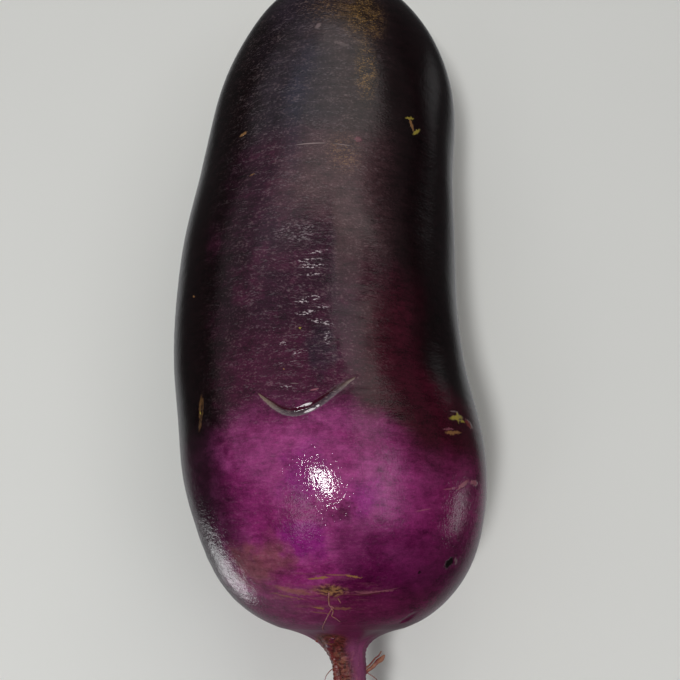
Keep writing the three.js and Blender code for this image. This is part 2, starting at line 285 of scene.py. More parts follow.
CROWN_PATCHES = [
    ("slate", -7.2, 43, 3.4, 11, 0, 0.2, 0.85), ("slate", 0, -21.5, 3.5, 7.5, 0, 0.2, 0.6),
    ("brass", 8.5, 68, 6.5, 12, 0, 0.2, 0.8), ("brass", 9, 50, 3, 12, 0, 0.2, 0.4),
    ("night", -12, 60, 9, 8, 0, 0.2, 0.6), ("night", 16.5, 57.5, 5, 6, 0, 0.2, 0.35),
    ("night", 15, 40, 4, 14, 0, 0.2, 0.2),
]

# Golden speckles on the crown's right shoulder: mark, start of the fade, strength.
GOLD_PATCHES = [
    (9.5, 66, 6.5, 13, 0, 0.1, 1), (9.8, 48, 3.2, 11, 0, 0.2, 1),
    (4.5, 25, 5, 7, 0, 0.1, 0.5), (4, 70, 12, 10, 0, 0.2, 0.5),
]

# Rows of painted glints, short pale dashes of wet light on top of the middle: mark, strength.
GLINT_ROWS = [
    (-1, 0.3, 2.6, 0.5, 12, 0.8), (-3, -1.8, 3.4, 0.6, 6, 0.8), (-2.2, -3, 3.4, 0.7, 4, 1),
    (-2, -5, 2, 0.5, 8, 0.7), (-3, -10.6, 3.4, 0.75, 14, 1), (-3.4, -13.6, 2.8, 0.6, 6, 1),
    (0.2, -12.2, 1.8, 0.6, 10, 0.6), (-0.4, -15.6, 3.2, 0.7, -14, 0.8), (1, -19, 0.9, 2, 0, 0.6),
    (-8.2, -20.3, 1.4, 0.6, 5, 0.6), (-4.6, -22.2, 2.2, 0.5, 14, 0.7), (-7.2, -24.5, 3, 0.4, 2, 0.5),
    (-7.8, -29.8, 2.4, 0.4, 4, 0.5), (-10.5, -17, 2.4, 0.4, 4, 0.3), (-6, 5, 6, 3, 0, 0.25),
]

# Wet light in the crack.
CRACK_GLINTS = [
    (-3.3, -33.7, 1.35, 0.26, 17), (-2.5, -34.8, 1.4, 0.34, 23), (-0.9, -33.9, 0.42, 0.34, 30),
]

# Scars, scratches and pores on the skin: colour, mark, strength. The wide ones stand up from the
# skin, and the narrowest ones are straight.
FLAT_MARK_WIDTH = 0.5
SCRATCH_WIDTH = 0.23
MARKS = [
    ("scar", 19.9, 37.4, 1.6, 0.4, 10, 0.8), ("cork", 20.4, 35.8, 1.8, 0.6, -65, 0.7),
    ("scar", 21.6, 34.5, 1.9, 0.55, 32, 0.9), ("cork", -19.5, 33.6, 1.5, 0.52, 8, 0.8),
    ("pale", -3, 27.4, 4.2, 0.19, 1, 0.8), ("pale", 4.2, 27.2, 2.4, 0.16, -3, 0.6),
    ("pale", -1.8, 61.9, 1.3, 0.8, 60, 0.45), ("pale", 4, 55.5, 2.4, 0.7, -20, 0.25),
    ("pink", 7.8, 29, 1, 0.8, 0, 0.35), ("cork", -16.5, 21.2, 0.8, 0.24, 12, 0.7),
    ("scar", -4.7, -17.1, 0.36, 0.24, 20, 1), ("cork", -30, -5.7, 0.4, 0.26, 0, 0.8),
    ("cork", -8.1, -25.9, 0.3, 0.16, -40, 0.7), ("cork", -26.8, -33.3, 4.2, 1, 71, 0.5),
    ("night", -26.8, -33.3, 3.4, 0.6, 71, 0.8), ("scar", -27.1, -33.2, 0.5, 0.22, -60, 1),
    ("scar", 28.8, -34.3, 3.2, 0.7, 15, 1), ("scar", 29.2, -34.1, 1.5, 0.65, 80, 1),
    ("scar", 30, -34.7, 1.7, 0.5, 2, 0.9), ("cork_dark", 29.6, -34.5, 0.8, 0.28, 14, 0.8),
    ("pale", 28.3, -32.9, 2, 0.3, 12, 0.5), ("strand", 31.9, -35, 2, 1, 0, 0.8),
    ("cork", 27.8, -37.9, 3.3, 0.48, 9, 0.7), ("pink", 26.6, -37.3, 2.2, 0.26, 10, 0.5),
    ("pink", 32.6, -48, 2.1, 0.7, -5, 0.9), ("pink", 29.9, -48.7, 2.6, 0.65, 12, 0.9),
    ("pink", 26.8, -49.9, 2.6, 0.22, 0, 0.5), ("pink", 20.8, -54.6, 2.3, 0.18, 3, 0.5),
    ("night", 26.9, -65, 1.9, 1.4, 0, 1), ("pale", 28.6, -64.6, 0.5, 1.4, 10, 0.4),
    ("night", 20, -67.1, 0.45, 0.45, 0, 0.8), ("pink", -1.6, -30.5, 1.1, 0.22, 11, 0.8),
    ("pale", -5.8, -29.1, 1.1, 0.16, -6, 0.4), ("cork", -1, -74.2, 1.5, 0.3, 3, 0.8),
    ("cork", -0.6, -75.2, 2.6, 0.22, 0, 0.5), ("cork", 3.8, -74.3, 2.6, 0.5, 0, 0.4),
    ("cork", -0.8, -68.2, 3, 0.27, 11, 0.9), ("cork", 6.3, -67.9, 2.2, 0.27, -14, 0.9),
    ("cork", 2.8, -67.6, 2.4, 0.22, 0, 0.5), ("cork", -6, -70.9, 5, 0.85, 2, 0.4),
    ("cork", -7, -72, 5, 0.26, 4, 0.4), ("cork_dark", 10.5, -71.2, 5.6, 0.5, 1, 0.55),
    ("pink", 11.2, -71, 5.2, 0.18, 1, 0.55),
]


# ---- What a user can change ------------------------------

def length(name, description, default):
    return FloatProperty(name=name, description=description, default=default, min=0.0,
                         precision=5, unit="LENGTH", subtype="DISTANCE")


def amount(name, description, default):
    return FloatProperty(name=name, description=description, default=default, min=0.0)


def number(name, description, default, least, most):
    return IntProperty(name=name, description=description, default=default, min=least, max=most)


def colour(name, description, default):
    return FloatVectorProperty(name=name, description=description, default=default, size=3,
                               min=0.0, max=1.0, subtype="COLOR")


class RadishForm(bpy.types.PropertyGroup):
    """Sizes of the radish's relief and the numbers of its small parts."""

    swell_depth: length("Swell depth", "How deep the broad, soft dents of the skin are", 0.00011)
    wrinkle_depth: length("Wrinkle depth", "How deep the wrinkles across the skin are", 0.00009)
    crumple_depth: length("Crumple depth", "How crumpled the left flank of the tail is", 0.00010)
    crack_depth: length("Crack depth", "How deep the crescent crack is", 0.0007)
    ring_pitch: length("Ring pitch", "Distance between the fine rings of the taproot", 0.0009)
    ring_depth: length("Ring depth", "Depth of the fine rings of the taproot", 0.00009)
    rootlets: number("Rootlets", "Number of rootlets down the taproot", 10, 0, 40)
    hairs: number("Hairs", "Number of fine hairs along the taproot", 46, 0, 200)
    stalks: number("Stalks", "Number of cut leaf stalks in the crown", 17, 1, 40)


class RadishColours(bpy.types.PropertyGroup):
    """Colours of the skin, its scars and the leaf stalks."""

    # Near-black skin at the crown; on the flanks it is painted shade.
    night: colour("Night", "Near-black skin of the crown and the flanks", (0.0065, 0.0020, 0.0028))
    # Partly a painted reflection of a soft panel, where it reaches down the middle.
    smoke_and_sheen: colour("Smoke", "Brownish grey skin on top, towards the crown", (0.062, 0.027, 0.033))
    brass: colour("Brass", "Brownish gold bloom on the crown", (0.046, 0.027, 0.013))
    slate: colour("Slate", "Bluish dark strip on the left of the crown", (0.018, 0.013, 0.025))
    bark: colour("Bark", "Greyish brown skin near the crown", (0.032, 0.018, 0.020))
    plum: colour("Plum", "Dark purple skin on top of the middle", (0.031, 0.0060, 0.019))
    wine: colour("Wine", "Dark red skin on the right of the middle", (0.039, 0.0030, 0.010))
    mulberry: colour("Mulberry", "Redder patches in the dark purple skin", (0.053, 0.0060, 0.026))
    # Dark skin and painted shade along the crack's upper edge.
    wine_dark_and_shade: colour("Dark wine", "Skin that curls into the crack", (0.040, 0.005, 0.008))
    # Also painted shade on the right flank of the tail, and darker towards its blunt end.
    claret_and_shade: colour("Claret", "Darker skin on the right of the tail", (0.125, 0.0090, 0.052))
    magenta: colour("Magenta", "Bright skin towards the tail", (0.250, 0.024, 0.140))
    orchid: colour("Orchid", "Lighter patches in the bright skin", (0.300, 0.046, 0.185))
    violet: colour("Violet", "Cooler patches in the bright skin", (0.235, 0.018, 0.165))
    russet: colour("Russet", "Brownish patches in the bright skin", (0.215, 0.058, 0.088))
    blotch: colour("Blotch", "Dark blotches in the bright skin", (0.070, 0.0025, 0.034))
    cork: colour("Cork", "Ochre cork of the scars", (0.320, 0.160, 0.060))
    cork_dark: colour("Dark cork", "Holes in the net of the cork", (0.060, 0.020, 0.012))
    gold: colour("Gold", "Golden cork that speckles the crown", (0.300, 0.165, 0.045))
    scar: colour("Scar", "Yellow-green cork of the young scars", (0.340, 0.270, 0.045))
    # Painted highlights: the pale dashes stand in for wet glints of light.
    painted_glint: colour("Glint", "Pale lifted flakes of the skin", (0.620, 0.520, 0.560))
    sheen: colour("Sheen", "Wet light caught in the crack", (0.950, 0.900, 0.930))
    pale: colour("Pale", "Fine pale scratches and pores", (0.300, 0.220, 0.220))
    pink: colour("Pink", "Pink ridges and scratches in the bright skin", (0.330, 0.110, 0.150))
    groove: colour("Groove", "Film of flesh inside the crack", (0.130, 0.095, 0.115))
    # Painted shade under the crack's overhanging upper edge.
    groove_shade: colour("Dark groove", "Deep side of the crack", (0.035, 0.016, 0.028))
    groove_dry: colour("Dry groove", "Dried ends of the crack", (0.230, 0.160, 0.110))
    rootlet: colour("Rootlet", "Dried rootlets", (0.300, 0.110, 0.060))
    taproot: colour("Taproot", "Skin of the taproot", (0.240, 0.050, 0.140))
    strand: colour("Strand", "Reddish skin of the side root", (0.180, 0.030, 0.028))
    strand_dark: colour("Strand dark", "Darker, dried parts of the side root", (0.060, 0.010, 0.008))
    hair: colour("Hair", "Fine root hairs", (0.430, 0.170, 0.180))
    stalk: colour("Stalk", "Green of the leaf stalks", (0.300, 0.360, 0.090))
    stalk_rib: colour("Stalk rib", "Darker fibres of the stalks", (0.130, 0.210, 0.040))
    heart: colour("Heart", "Skin between the feet of the stalks", (0.120, 0.035, 0.050))
    stalk_base: colour("Stalk base", "Purple tint at the foot of the stalks", (0.230, 0.060, 0.120))
    stalk_cut: colour("Stalk cut", "Pale cut ends of the stalks", (0.560, 0.580, 0.300))
    stalk_dry: colour("Stalk dry", "Dried parts of the cut ends", (0.360, 0.270, 0.120))


class RadishLight(bpy.types.PropertyGroup):
    """Lights and floor of the stage."""

    tubes: amount("Tubes", "Brightness of the tube lights overhead", 1.0)
    panels: amount("Panels", "Brightness of the soft panels all round", 1.0)
    room: amount("Room", "Brightness of the dim room above", 0.26)
    glow: amount("Glow", "Brightness of what the flanks mirror from below", 1.0)
    floor: colour("Floor", "Colour of the plain floor", (0.84, 0.85, 0.82))


# ---- Small tools -----------------------------------------

def mix(start, end, share):
    return start + (end - start) * share


def ease(value, low, high):
    """0 below low, 1 above high, and a smooth rise between them."""
    t = np.clip((value - low) / (high - low), 0.0, 1.0)
    return t * t * (3.0 - 2.0 * t)


def along(rows, column, y):
    """Smooth curve through rows of (y, value, ...), read at y; beyond its ends it runs on straight."""
    table = np.array(rows)
    ys, values = table[:, 0], table[:, column]
    order = np.arange(len(ys))
    before, after = np.maximum(order - 1, 0), np.minimum(order + 1, len(ys) - 1)
    slopes = (values[after] - values[before]) / (ys[after] - ys[before])
    held = np.clip(y, ys[0], ys[-1])
    i = np.clip(np.searchsorted(ys, held, side="right") - 1, 0, len(ys) - 2)
    span = ys[i + 1] - ys[i]
    t = (held - ys[i]) / span
    start = (2 * t**3 - 3 * t**2 + 1) * values[i] + (t**3 - 2 * t**2 + t) * span * slopes[i]
    end = (3 * t**2 - 2 * t**3) * values[i + 1] + (t**3 - t**2) * span * slopes[i + 1]
    past = np.where(y < ys[0], slopes[0] * (y - ys[0]), slopes[-1] * np.maximum(y - ys[-1], 0.0))
    return start + end + past


def through(points, count):
    """Points spread evenly along a smooth curve through the given ones."""
    given = np.array(points, float)
    steps = np.linalg.norm(np.diff(given, axis=0), axis=1)
    knots = np.concatenate([[0.0], np.cumsum(steps)])
    rows = np.column_stack([knots, given])
    where = np.linspace(0.0, knots[-1], count)
    return np.column_stack([along(rows, column, where) for column in range(1, rows.shape[1])])


def cloud(points, size, stretch=(1.0, 1.0, 1.0), place=0.0):
    """Smooth noise from -1 to 1 at each point, with lumps of that size, stretched along X, Y and Z."""
    scaled = points / (size * np.array(stretch)) + place
    return np.array([noise.noise(p) for p in scaled.tolist()])


def random_from(seed):
    """Repeatable random numbers from 0 to 1."""
    state = seed
    while True:
        state = (state * 16807) % 2147483647
        yield state / 2147483647


# ---- The root's form -------------------------------------

def round_off(end, inside):
    """Share of the full radius left at a distance inside a rounded end."""
    _, reach, fullness = end
    t = np.clip(inside / reach, 0.0, 1.0)
    return (1.0 - (1.0 - t) ** fullness) ** (1.0 / fullness)


def dome_radius(y):
    crown = round_off(CROWN_END, CROWN_END[0] - y)
    tail = round_off(TAIL_END, y - TAIL_END[0])
    return along(FREE_RADIUS, 1, y) * crown * tail


def taproot_radius(y):
    t = np.clip((TAPROOT_TAPER_START_Y - y) / (TAPROOT_TAPER_START_Y - TAPROOT_TIP_Y), 0.0, 1.0)
    flare = FLARE_RISE * np.exp((y - FLARE_START_Y) / FLARE_FALL)
    return mix(TAPROOT_RADIUS, TAPROOT_TIP_RADIUS, t) + flare


def root_radius(y):
    return np.where(y < FLARE_START_Y, taproot_radius(np.minimum(y, FLARE_START_Y)), dome_radius(y))


def lobe_height(angle, y):
    """The lobes fade out where the root narrows, so that its ends stay round."""
    fade = np.clip((dome_radius(y) - LOBE_START_RADIUS) / LOBE_RISE, 0.0, 1.0)
    return sum(fade * height * np.cos(count * angle + twist * y * count + phase)
               for count, height, twist, phase in LOBES)


def round_centre(y, angle, radius):
    """Points at an angle and a distance from the centre line: one, or a row for each y."""
    return np.stack([along(CENTRE_LINE, 1, y) + radius * np.cos(angle), y + 0.0 * angle,
                     along(CENTRE_LINE, 2, y) + radius * np.sin(angle)], axis=-1)


def skin_above(x, y):
    """The place on the smooth skin that is straight above (x, y)."""
    side = (x - along(CENTRE_LINE, 1, y)) / dome_radius(y)
    angle = np.arccos(np.clip(side, -1.0, 1.0))
    return Vector(round_centre(y, angle, dome_radius(y) + lobe_height(angle, y)))


def skin_normal(x, y, step=0.0004):
    here = skin_above(x, y)
    return (skin_above(x + step, y) - here).cross(skin_above(x, y + step) - here).normalized()


def crown_seat():
    """Where the stalks' dome sits in the crown's dish."""
    return Vector(round_centre(RIM_Y, 0.0, 0.0)) + Vector((0.0, SEAT_GAP - DISH_DEPTH, 0.0))


# ---- Mesh tools ------------------------------------------

def start_fresh(*pieces):
    """Object mode with nothing selected but the given pieces, the first of them active."""
    if bpy.context.object and bpy.context.object.mode != "OBJECT":
        bpy.ops.object.mode_set(mode="OBJECT")
    bpy.ops.object.select_all(action="DESELECT")
    for piece in reversed(pieces):
        piece.select_set(True)
        bpy.context.view_layer.objects.active = piece


def edit_all():
    """Edit mode with the whole of the active mesh selected."""
    bpy.ops.object.mode_set(mode="EDIT")
    bpy.ops.mesh.select_all(action="SELECT")


def end_edit():
    """Turns every face outwards and goes back to object mode."""
    bpy.ops.mesh.select_all(action="SELECT")
    bpy.ops.mesh.normals_make_consistent(inside=False)
    bpy.ops.object.mode_set(mode="OBJECT")


def extrude_through(rings, axis):
    """Extrudes the active mesh's one face through rings of (place along the axis, width)."""
    edit_all()
    place, width = rings[0]
    for next_place, next_width in rings[1:]:
        shift, centre, scale = Vector(), Vector(), Vector((1, 1, 1)) * (next_width / width)
        shift[axis], centre[axis], scale[axis] = next_place - place, next_place, 1.0
        bpy.ops.mesh.extrude_region_move(TRANSFORM_OT_translate={"value": shift})
        bpy.ops.transform.resize(value=scale, center_override=centre)
        place, width = next_place, next_width
    end_edit()


def vertices_of(piece):
    points = np.empty(len(piece.data.vertices) * 3)
    piece.data.vertices.foreach_get("co", points)
    return points.reshape(-1, 3)


def move_vertices(piece, points):
    piece.data.vertices.foreach_set("co", points.astype(np.float32).ravel())
    piece.data.update()


def paint(piece, name, values):
    """Keeps one number for each vertex, for the finish to read."""
    layer = piece.data.attributes.new(name, "FLOAT", "POINT")
    layer.data.foreach_set("value", values.astype(np.float32))


def apply_modifiers(piece):
    bpy.context.view_layer.objects.active = piece
    for modifier in list(piece.modifiers):
        bpy.ops.object.modifier_apply(modifier=modifier.name)


def name_active(name):
    piece = bpy.context.object
    piece.name = piece.data.name = name
    return piece


def join(pieces, name):
    """One object with the given name, made of several."""
    start_fresh(*pieces)
    bpy.ops.object.join()
    return name_active(name)


def settle(piece, finish, replaced):
    """Gives a piece its material and its body, and hides the solid that it replaces, if any."""
    piece.data.materials.append(finish)
    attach(piece, "root")
    if replaced:
        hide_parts(replaced)


def path_fields(points, path):
    """Each point's signed distance across a line on the skin, and its share of the way along it."""
    line = np.array(path)
    best = np.full(len(points), np.inf)
    across, share = np.zeros(len(points)), np.zeros(len(points))
    for i in range(len(line) - 1):
        start, step = line[i], line[i + 1] - line[i]
        reach = step @ step
        t = (points - start) @ step / reach
        first, last = i == 0, i == len(line) - 2
        held = np.clip(t, -np.inf if first else 0.0, np.inf if last else 1.0)
        offset = points - start - held[:, None] * step
        beyond = np.clip(held, 0.0, 1.0) - held
        distance = np.linalg.norm(offset + beyond[:, None] * -step, axis=1)
        side = step[0] * offset[:, 1] - step[1] * offset[:, 0]
        nearer = distance < best
        best = np.where(nearer, distance, best)
        across = np.where(nearer, np.copysign(np.linalg.norm(offset, axis=1), side), across)
        share = np.where(nearer, (i + held) / (len(line) - 1), share)
    return across, share


def skin_line(path, count):
    return [skin_above(x, y) for x, y in through(path, count)]


def spindle(share, fullness=0.6):
    """Width of a line that closes to nothing at both ends."""
    return np.sin(np.pi * np.clip(share, 0.0, 1.0)) ** fullness


def tube(name, points, radii, sides=3):
    """A smooth tapering tube through points, with a radius at each of them."""
    start_fresh()
    bpy.ops.curve.primitive_nurbs_path_add()
    curve = bpy.context.object
    spline = curve.data.splines[0]
    spline.points.add(len(points) - len(spline.points))
    for knot, point, radius in zip(spline.points, points, radii):
        knot.co = (*point, 1.0)
        knot.radius = radius
    spline.order_u = 3
    spline.resolution_u = curve.data.resolution_u = 2
    spline.use_endpoint_u = True
    curve.data.bevel_depth = 1.0
    curve.data.bevel_resolution = sides
    curve.data.use_fill_caps = True
    bpy.ops.object.convert(target="MESH")
    edit_all()
    bpy.ops.mesh.remove_doubles(threshold=MERGE_DISTANCE)
    end_edit()
    bpy.ops.object.shade_smooth()
    return name_active(name)


# ---- Finish tools ----------------------------------------

class Signal:
    """A shader socket that Python arithmetic works on: each operator adds its own Math node."""

    def __init__(self, finish, socket):
        self.finish, self.socket = finish, socket

    def __add__(self, other):
        return self.finish.maths("ADD", self, other)

    def __sub__(self, other):
        return self.finish.maths("SUBTRACT", self, other)

    def __rsub__(self, other):
        return self.finish.maths("SUBTRACT", other, self)

    def __mul__(self, other):
        return self.finish.maths("MULTIPLY", self, other)

    def __truediv__(self, other):
        return self.finish.maths("DIVIDE", self, other)

    def __rtruediv__(self, other):
        return self.finish.maths("DIVIDE", other, self)

    def __neg__(self):
        return self.finish.maths("MULTIPLY", self, -1.0)

    __radd__ = __add__
    __rmul__ = __mul__


class Finish:
    """A material, or the world around, that is built one node at a time."""

    def __init__(self, block):
        self.block = block
        block.use_nodes = True
        self.tree = block.node_tree
        self.tree.nodes.clear()
        self.place = self.node("ShaderNodeTexCoord", output="Object")
        self.x, self.y, self.z = (
            self.node("ShaderNodeSeparateXYZ", values={"Vector": self.place}, output=axis)
            for axis in ("X", "Y", "Z"))

    def node(self, kind, settings=None, values=None, output=0):
        """Adds a node: its settings first, then the values or links of its sockets."""
        made = self.tree.nodes.new(kind)
        for key, setting in (settings or {}).items():
            setattr(made, key, setting)
        for key, value in (values or {}).items():
            if isinstance(value, Signal):
                self.tree.links.new(value.socket, made.inputs[key])
            else:
                made.inputs[key].default_value = value
        return None if output is None else Signal(self, made.outputs[output])

    def maths(self, operation, *values):
        return self.node("ShaderNodeMath", {"operation": operation}, dict(enumerate(values)))

    def vector(self, operation, *values, output="Vector"):
        return self.node("ShaderNodeVectorMath", {"operation": operation},
                         dict(enumerate(values)), output)

    def rise(self, value, low, high):
        """0 below low, 1 above high, and a smooth rise between them."""
        return self.node("ShaderNodeMapRange", {"interpolation_type": "SMOOTHSTEP"},
                         {"Value": value, "From Min": low, "From Max": high})

    def blend(self, share, first, second, kind="MIX"):
        """Two colours mixed by a share."""
        shades = [shade if isinstance(shade, Signal) else (*shade, 1.0) for shade in (first, second)]
        return self.node("ShaderNodeMix",
                         {"data_type": "RGBA", "blend_type": kind, "clamp_factor": True},
                         {0: share, 6: shades[0], 7: shades[1]}, output=2)

    def noise(self, size, stretch=(1.0, 1.0, 1.0), detail=2.0, roughness=0.5, distortion=0.0,
              place=0.0, output="Fac"):
        """Clouds with lumps of that size in millimetres, stretched along X, Y and Z."""
        scale = tuple(1.0 / (size * MM * s) for s in stretch)
        where = self.node("ShaderNodeMapping", {"vector_type": "POINT"},
                          {"Vector": self.place, "Location": (place,) * 3, "Scale": scale})
        return self.node("ShaderNodeTexNoise", {"noise_dimensions": "3D", "normalize": True},
                         {"Vector": where, "Scale": 1.0, "Detail": detail, "Roughness": roughness,
                          "Distortion": distortion}, output)

    def shaken(self, size, reach):
        """The place, moved about by clouds with lumps of that size in millimetres."""
        drift = self.vector("SUBTRACT", self.noise(size, detail=3.0, output="Color"), (0.5, 0.5, 0.5))
        return self.vector("MULTIPLY_ADD", drift, (reach, reach, reach), self.place)

    def spot(self, x, y, half_length, half_width, heading=0, edge=(0.75, 1.05), depth=6, ragged=None):
        """A spindle on the skin at (x, y), turned from +X towards +Y, in millimetres and degrees."""
        centre, normal = skin_above(x * MM, y * MM), skin_normal(x * MM, y * MM)
        ahead = Vector((math.cos(math.radians(heading)), math.sin(math.radians(heading)), 0.0))
        ahead = (ahead - normal * ahead.dot(normal)).normalized()
        turned = Matrix((ahead, normal.cross(ahead), normal)).transposed().to_euler("XYZ")
        local = self.node("ShaderNodeMapping", {"vector_type": "TEXTURE"},
                          {"Vector": ragged or self.place, "Location": centre, "Rotation": turned,
                           "Scale": (half_length * MM, half_width * MM, depth * MM)})
        distance = self.vector("LENGTH", local, output="Value")
        return 1.0 - self.rise(distance, *edge)

    def attribute(self, name):
        return self.node("ShaderNodeAttribute", {"attribute_type": "GEOMETRY", "attribute_name": name},
                         output="Fac")

    def strongest(self, *masks):
        """The highest of several masks at each place."""
        highest = masks[0]
        for mask in masks[1:]:
            highest = self.maths("MAXIMUM", highest, mask)
        return highest

    def bump(self, height, distance, strength=1.0, over=None):
        """Raises the surface by a height from 0 to 1 times a distance in metres."""
        values = {"Height": height, "Distance": distance, "Strength": strength}
        if over:
            values["Normal"] = over
        return self.node("ShaderNodeBump", values=values)

    def close(self, base_colour, roughness, normal, **constants):
        """The surface shader and its output; constants stand on the shader's own sockets."""
        values = {"Base Color": base_colour, "Roughness": roughness, "Normal": normal}
        values.update({key.replace("_", " "): value for key, value in constants.items()})
        shader = self.node("ShaderNodeBsdfPrincipled", values=values)
        self.node("ShaderNodeOutputMaterial", values={"Surface": shader}, output=None)
        return self.block


# ---- The root and its skin -------------------------------

def ring_stations():
    """(y, radius) of each ring of the cage, evenly along the skin from the rim to the taproot's tip."""
    fine_y = np.linspace(RIM_Y - RIM_ROUNDING, TAPROOT_TIP_Y, 8000)
    fine_radius = root_radius(fine_y)
    steps = np.hypot(np.diff(fine_y), np.diff(fine_radius))
    spacing = np.interp(fine_y[1:], *np.array(RING_SPACING).T) * 2**CAGE_LEVELS
    count = np.concatenate([[0.0], np.cumsum(steps / spacing)])
    y = np.interp(np.arange(int(count[-1]) + 1), count, fine_y)
    return list(zip(y, root_radius(y)))


def skin_cage():
    """A circle in the crown's dish, extruded ring by ring over the rim and down to the taproot's tip."""
    rim = float(root_radius(RIM_Y))
    dish_y = RIM_Y - DISH_DEPTH
    rings = [
        (dish_y, rim - DISH_WALL - 0.2 * MM),
        (dish_y + 0.2 * MM, rim - DISH_WALL),
        (RIM_Y - 0.3 * MM, rim - DISH_WALL),
        (RIM_Y + 0.1 * MM, rim - DISH_WALL + 0.2 * MM),
        (RIM_Y + 0.25 * MM, rim - RIM_ROUNDING - 0.1 * MM),
        *ring_stations(),
        (TAPROOT_TIP_Y - 0.7 * TAPROOT_TIP_RADIUS, 0.7 * TAPROOT_TIP_RADIUS),
        (TAPROOT_TIP_Y - TAPROOT_TIP_RADIUS, 0.2 * TAPROOT_TIP_RADIUS),
    ]
    bpy.ops.mesh.primitive_circle_add(vertices=CAGE_SIDES, radius=rings[0][1], fill_type="NGON",
                                      location=(0, rings[0][0], 0), rotation=(math.pi / 2, 0, 0))
    bpy.ops.object.transform_apply(location=True, rotation=True, scale=True)
    extrude_through(rings, axis=1)
    return name_active("root_skin")


def crack_depth(u, share, depth):
    """Steep under its upper edge, easy on the lower side, where a thin lip stands up."""
    wall = 1.0 - ease(u, 0.62, 1.05)
    floor = ease(u, -1.25, 0.25)
    lip = np.exp(-((u + 1.7) / 0.5) ** 2) * spindle(share)
    return depth * spindle(share) * wall * floor - CRACK_LIP * lip


def groove_depth(across, share, half_width, depth):
    u = across / (half_width * spindle(share) + 1e-6)
    return depth * spindle(share) * np.exp(-(u * u))


def skin_folds(points, y, form):
    """Soft dents, wrinkles across the skin, and the crumpled left flank of the tail."""
    body = ease(y, -0.078, -0.070)
    swell = 0.5 + 0.5 * cloud(points, 0.016, place=3.7)
    low = form.swell_depth * body * swell
    folds = cloud(points, 0.0021, (3.2, 1.0, 3.2), place=11.3)
    fine = cloud(points, 0.0012, (4.0, 1.0, 4.0), place=5.1)
    strength = 0.35 + 0.65 * ease(cloud(points, 0.02, place=8.8), -0.4, 0.5)
    strength = strength * (1.0 - 0.65 * ease(-y, 0.038, 0.048))
    low = low + form.wrinkle_depth * body * strength * (0.6 * (1.0 - np.abs(folds)) + 0.4 * fine)
    crumpled = ease(-points[:, 0], 0.004, 0.016) * ease(-y, 0.040, 0.056)
    crumples = cloud(points, 0.0019, (1.0, 1.6, 1.6), place=6.9)
    return low + form.crumple_depth * body * crumpled * crumples


def crack_relief(points, form, piece):
    """Depth of the crescent crack; its distances stay on the piece for the finish."""
    across, share = path_fields(points, skin_line(CRACK_PATH, 41))
    across = across + 0.00010 * cloud(points, 0.0011, place=2.2)
    across = np.clip(across / (CRACK_HALF_WIDTH * spindle(share) + 1e-6), -9.0, 9.0)
    paint(piece, "crack_across", across)
    paint(piece, "crack_share", share)
    return crack_depth(across, share, form.crack_depth)


def crease_relief(points, piece):
    """Depth of the side root's crease; its distances stay on the piece for the finish."""
    across, share = path_fields(points, skin_line(CREASE_PATH, 25))
    across = across + 0.00012 * cloud(points, 0.0016, place=6.4)
    paint(piece, "crease_across", across)
    paint(piece, "crease_share", share)
    return groove_depth(across, share, CREASE_HALF_WIDTH, CREASE_DEPTH)


def cork_height(points):
    """Height of the netted lens of cork on the crease."""
    long, wide = CORK_HALF_SIZE
    centre = skin_above(CORK_MARK[0] * MM, CORK_MARK[1] * MM)
    offset = np.linalg.norm((points - np.array(centre)) / np.array([long, wide, wide]), axis=1)
    lens = 1.0 - ease(offset, 0.2, 1.15)
    netting = 0.5 + 0.5 * cloud(points, 0.0007, (1.6, 1.0, 1.0), place=9.9)
    return CORK_HEIGHT * lens * (0.45 + 0.55 * netting)


def strand_swell(points, y, piece):
    """How far the skin swells where the side root leaves it."""
    strand = through(STRAND_PATH, 40)
    away = np.full(len(points), 1.0)
    at_tail = y < -0.0765
    away[at_tail] = np.min(np.linalg.norm(points[at_tail][:, None] - strand, axis=2), axis=1)
    paint(piece, "strand_away", away)
    return STRAND_SWELL * np.exp(-(away / STRAND_SWELL_REACH) ** 2) * ease(-y, 0.0800, 0.0815)


def noise_round(angle, y, pitch):
    """Smooth noise that closes on itself round the root."""
    ring = np.column_stack([np.cos(angle) * pitch, y / 0.006, np.sin(angle) * pitch])
    return cloud(ring, 1.0)


def flare_relief(y, angle, form):
    """Uneven pleats of the flare that run out along the taproot, and the taproot's fine rings."""
    pleats = np.cos(PLEATS * angle + 2.4 * noise_round(angle, y, 1.3))
    pleats = pleats + 0.6 * np.cos(FINE_PLEATS * angle + 1.1)
    in_flare = ease(y, -0.088, -0.0815) * (1.0 - ease(y, -0.0800, -0.0765))
    on_taproot = 1.0 - ease(y, -0.0835, -0.0805)
    rings = np.cos(2.0 * math.pi * y / form.ring_pitch + 1.5 * noise_round(angle, y * 0.6, 2.1))
    return PLEAT_HEIGHT * in_flare * (1.0 + pleats) + form.ring_depth * on_taproot * (1.0 + rings)


def root_relief(points, y, angle, form, piece):
    """How far the skin lies below the smooth form at each point."""
    low = skin_folds(points, y, form) + crack_relief(points, form, piece)
    low = low + crease_relief(points, piece) - cork_height(points)
    for path, half_width, depth in DENTS:
        across, share = path_fields(points, skin_line(path, 9))
        low = low + groove_depth(across, share, half_width, depth)
    return low - strand_swell(points, y, piece) + flare_relief(y, angle, form)


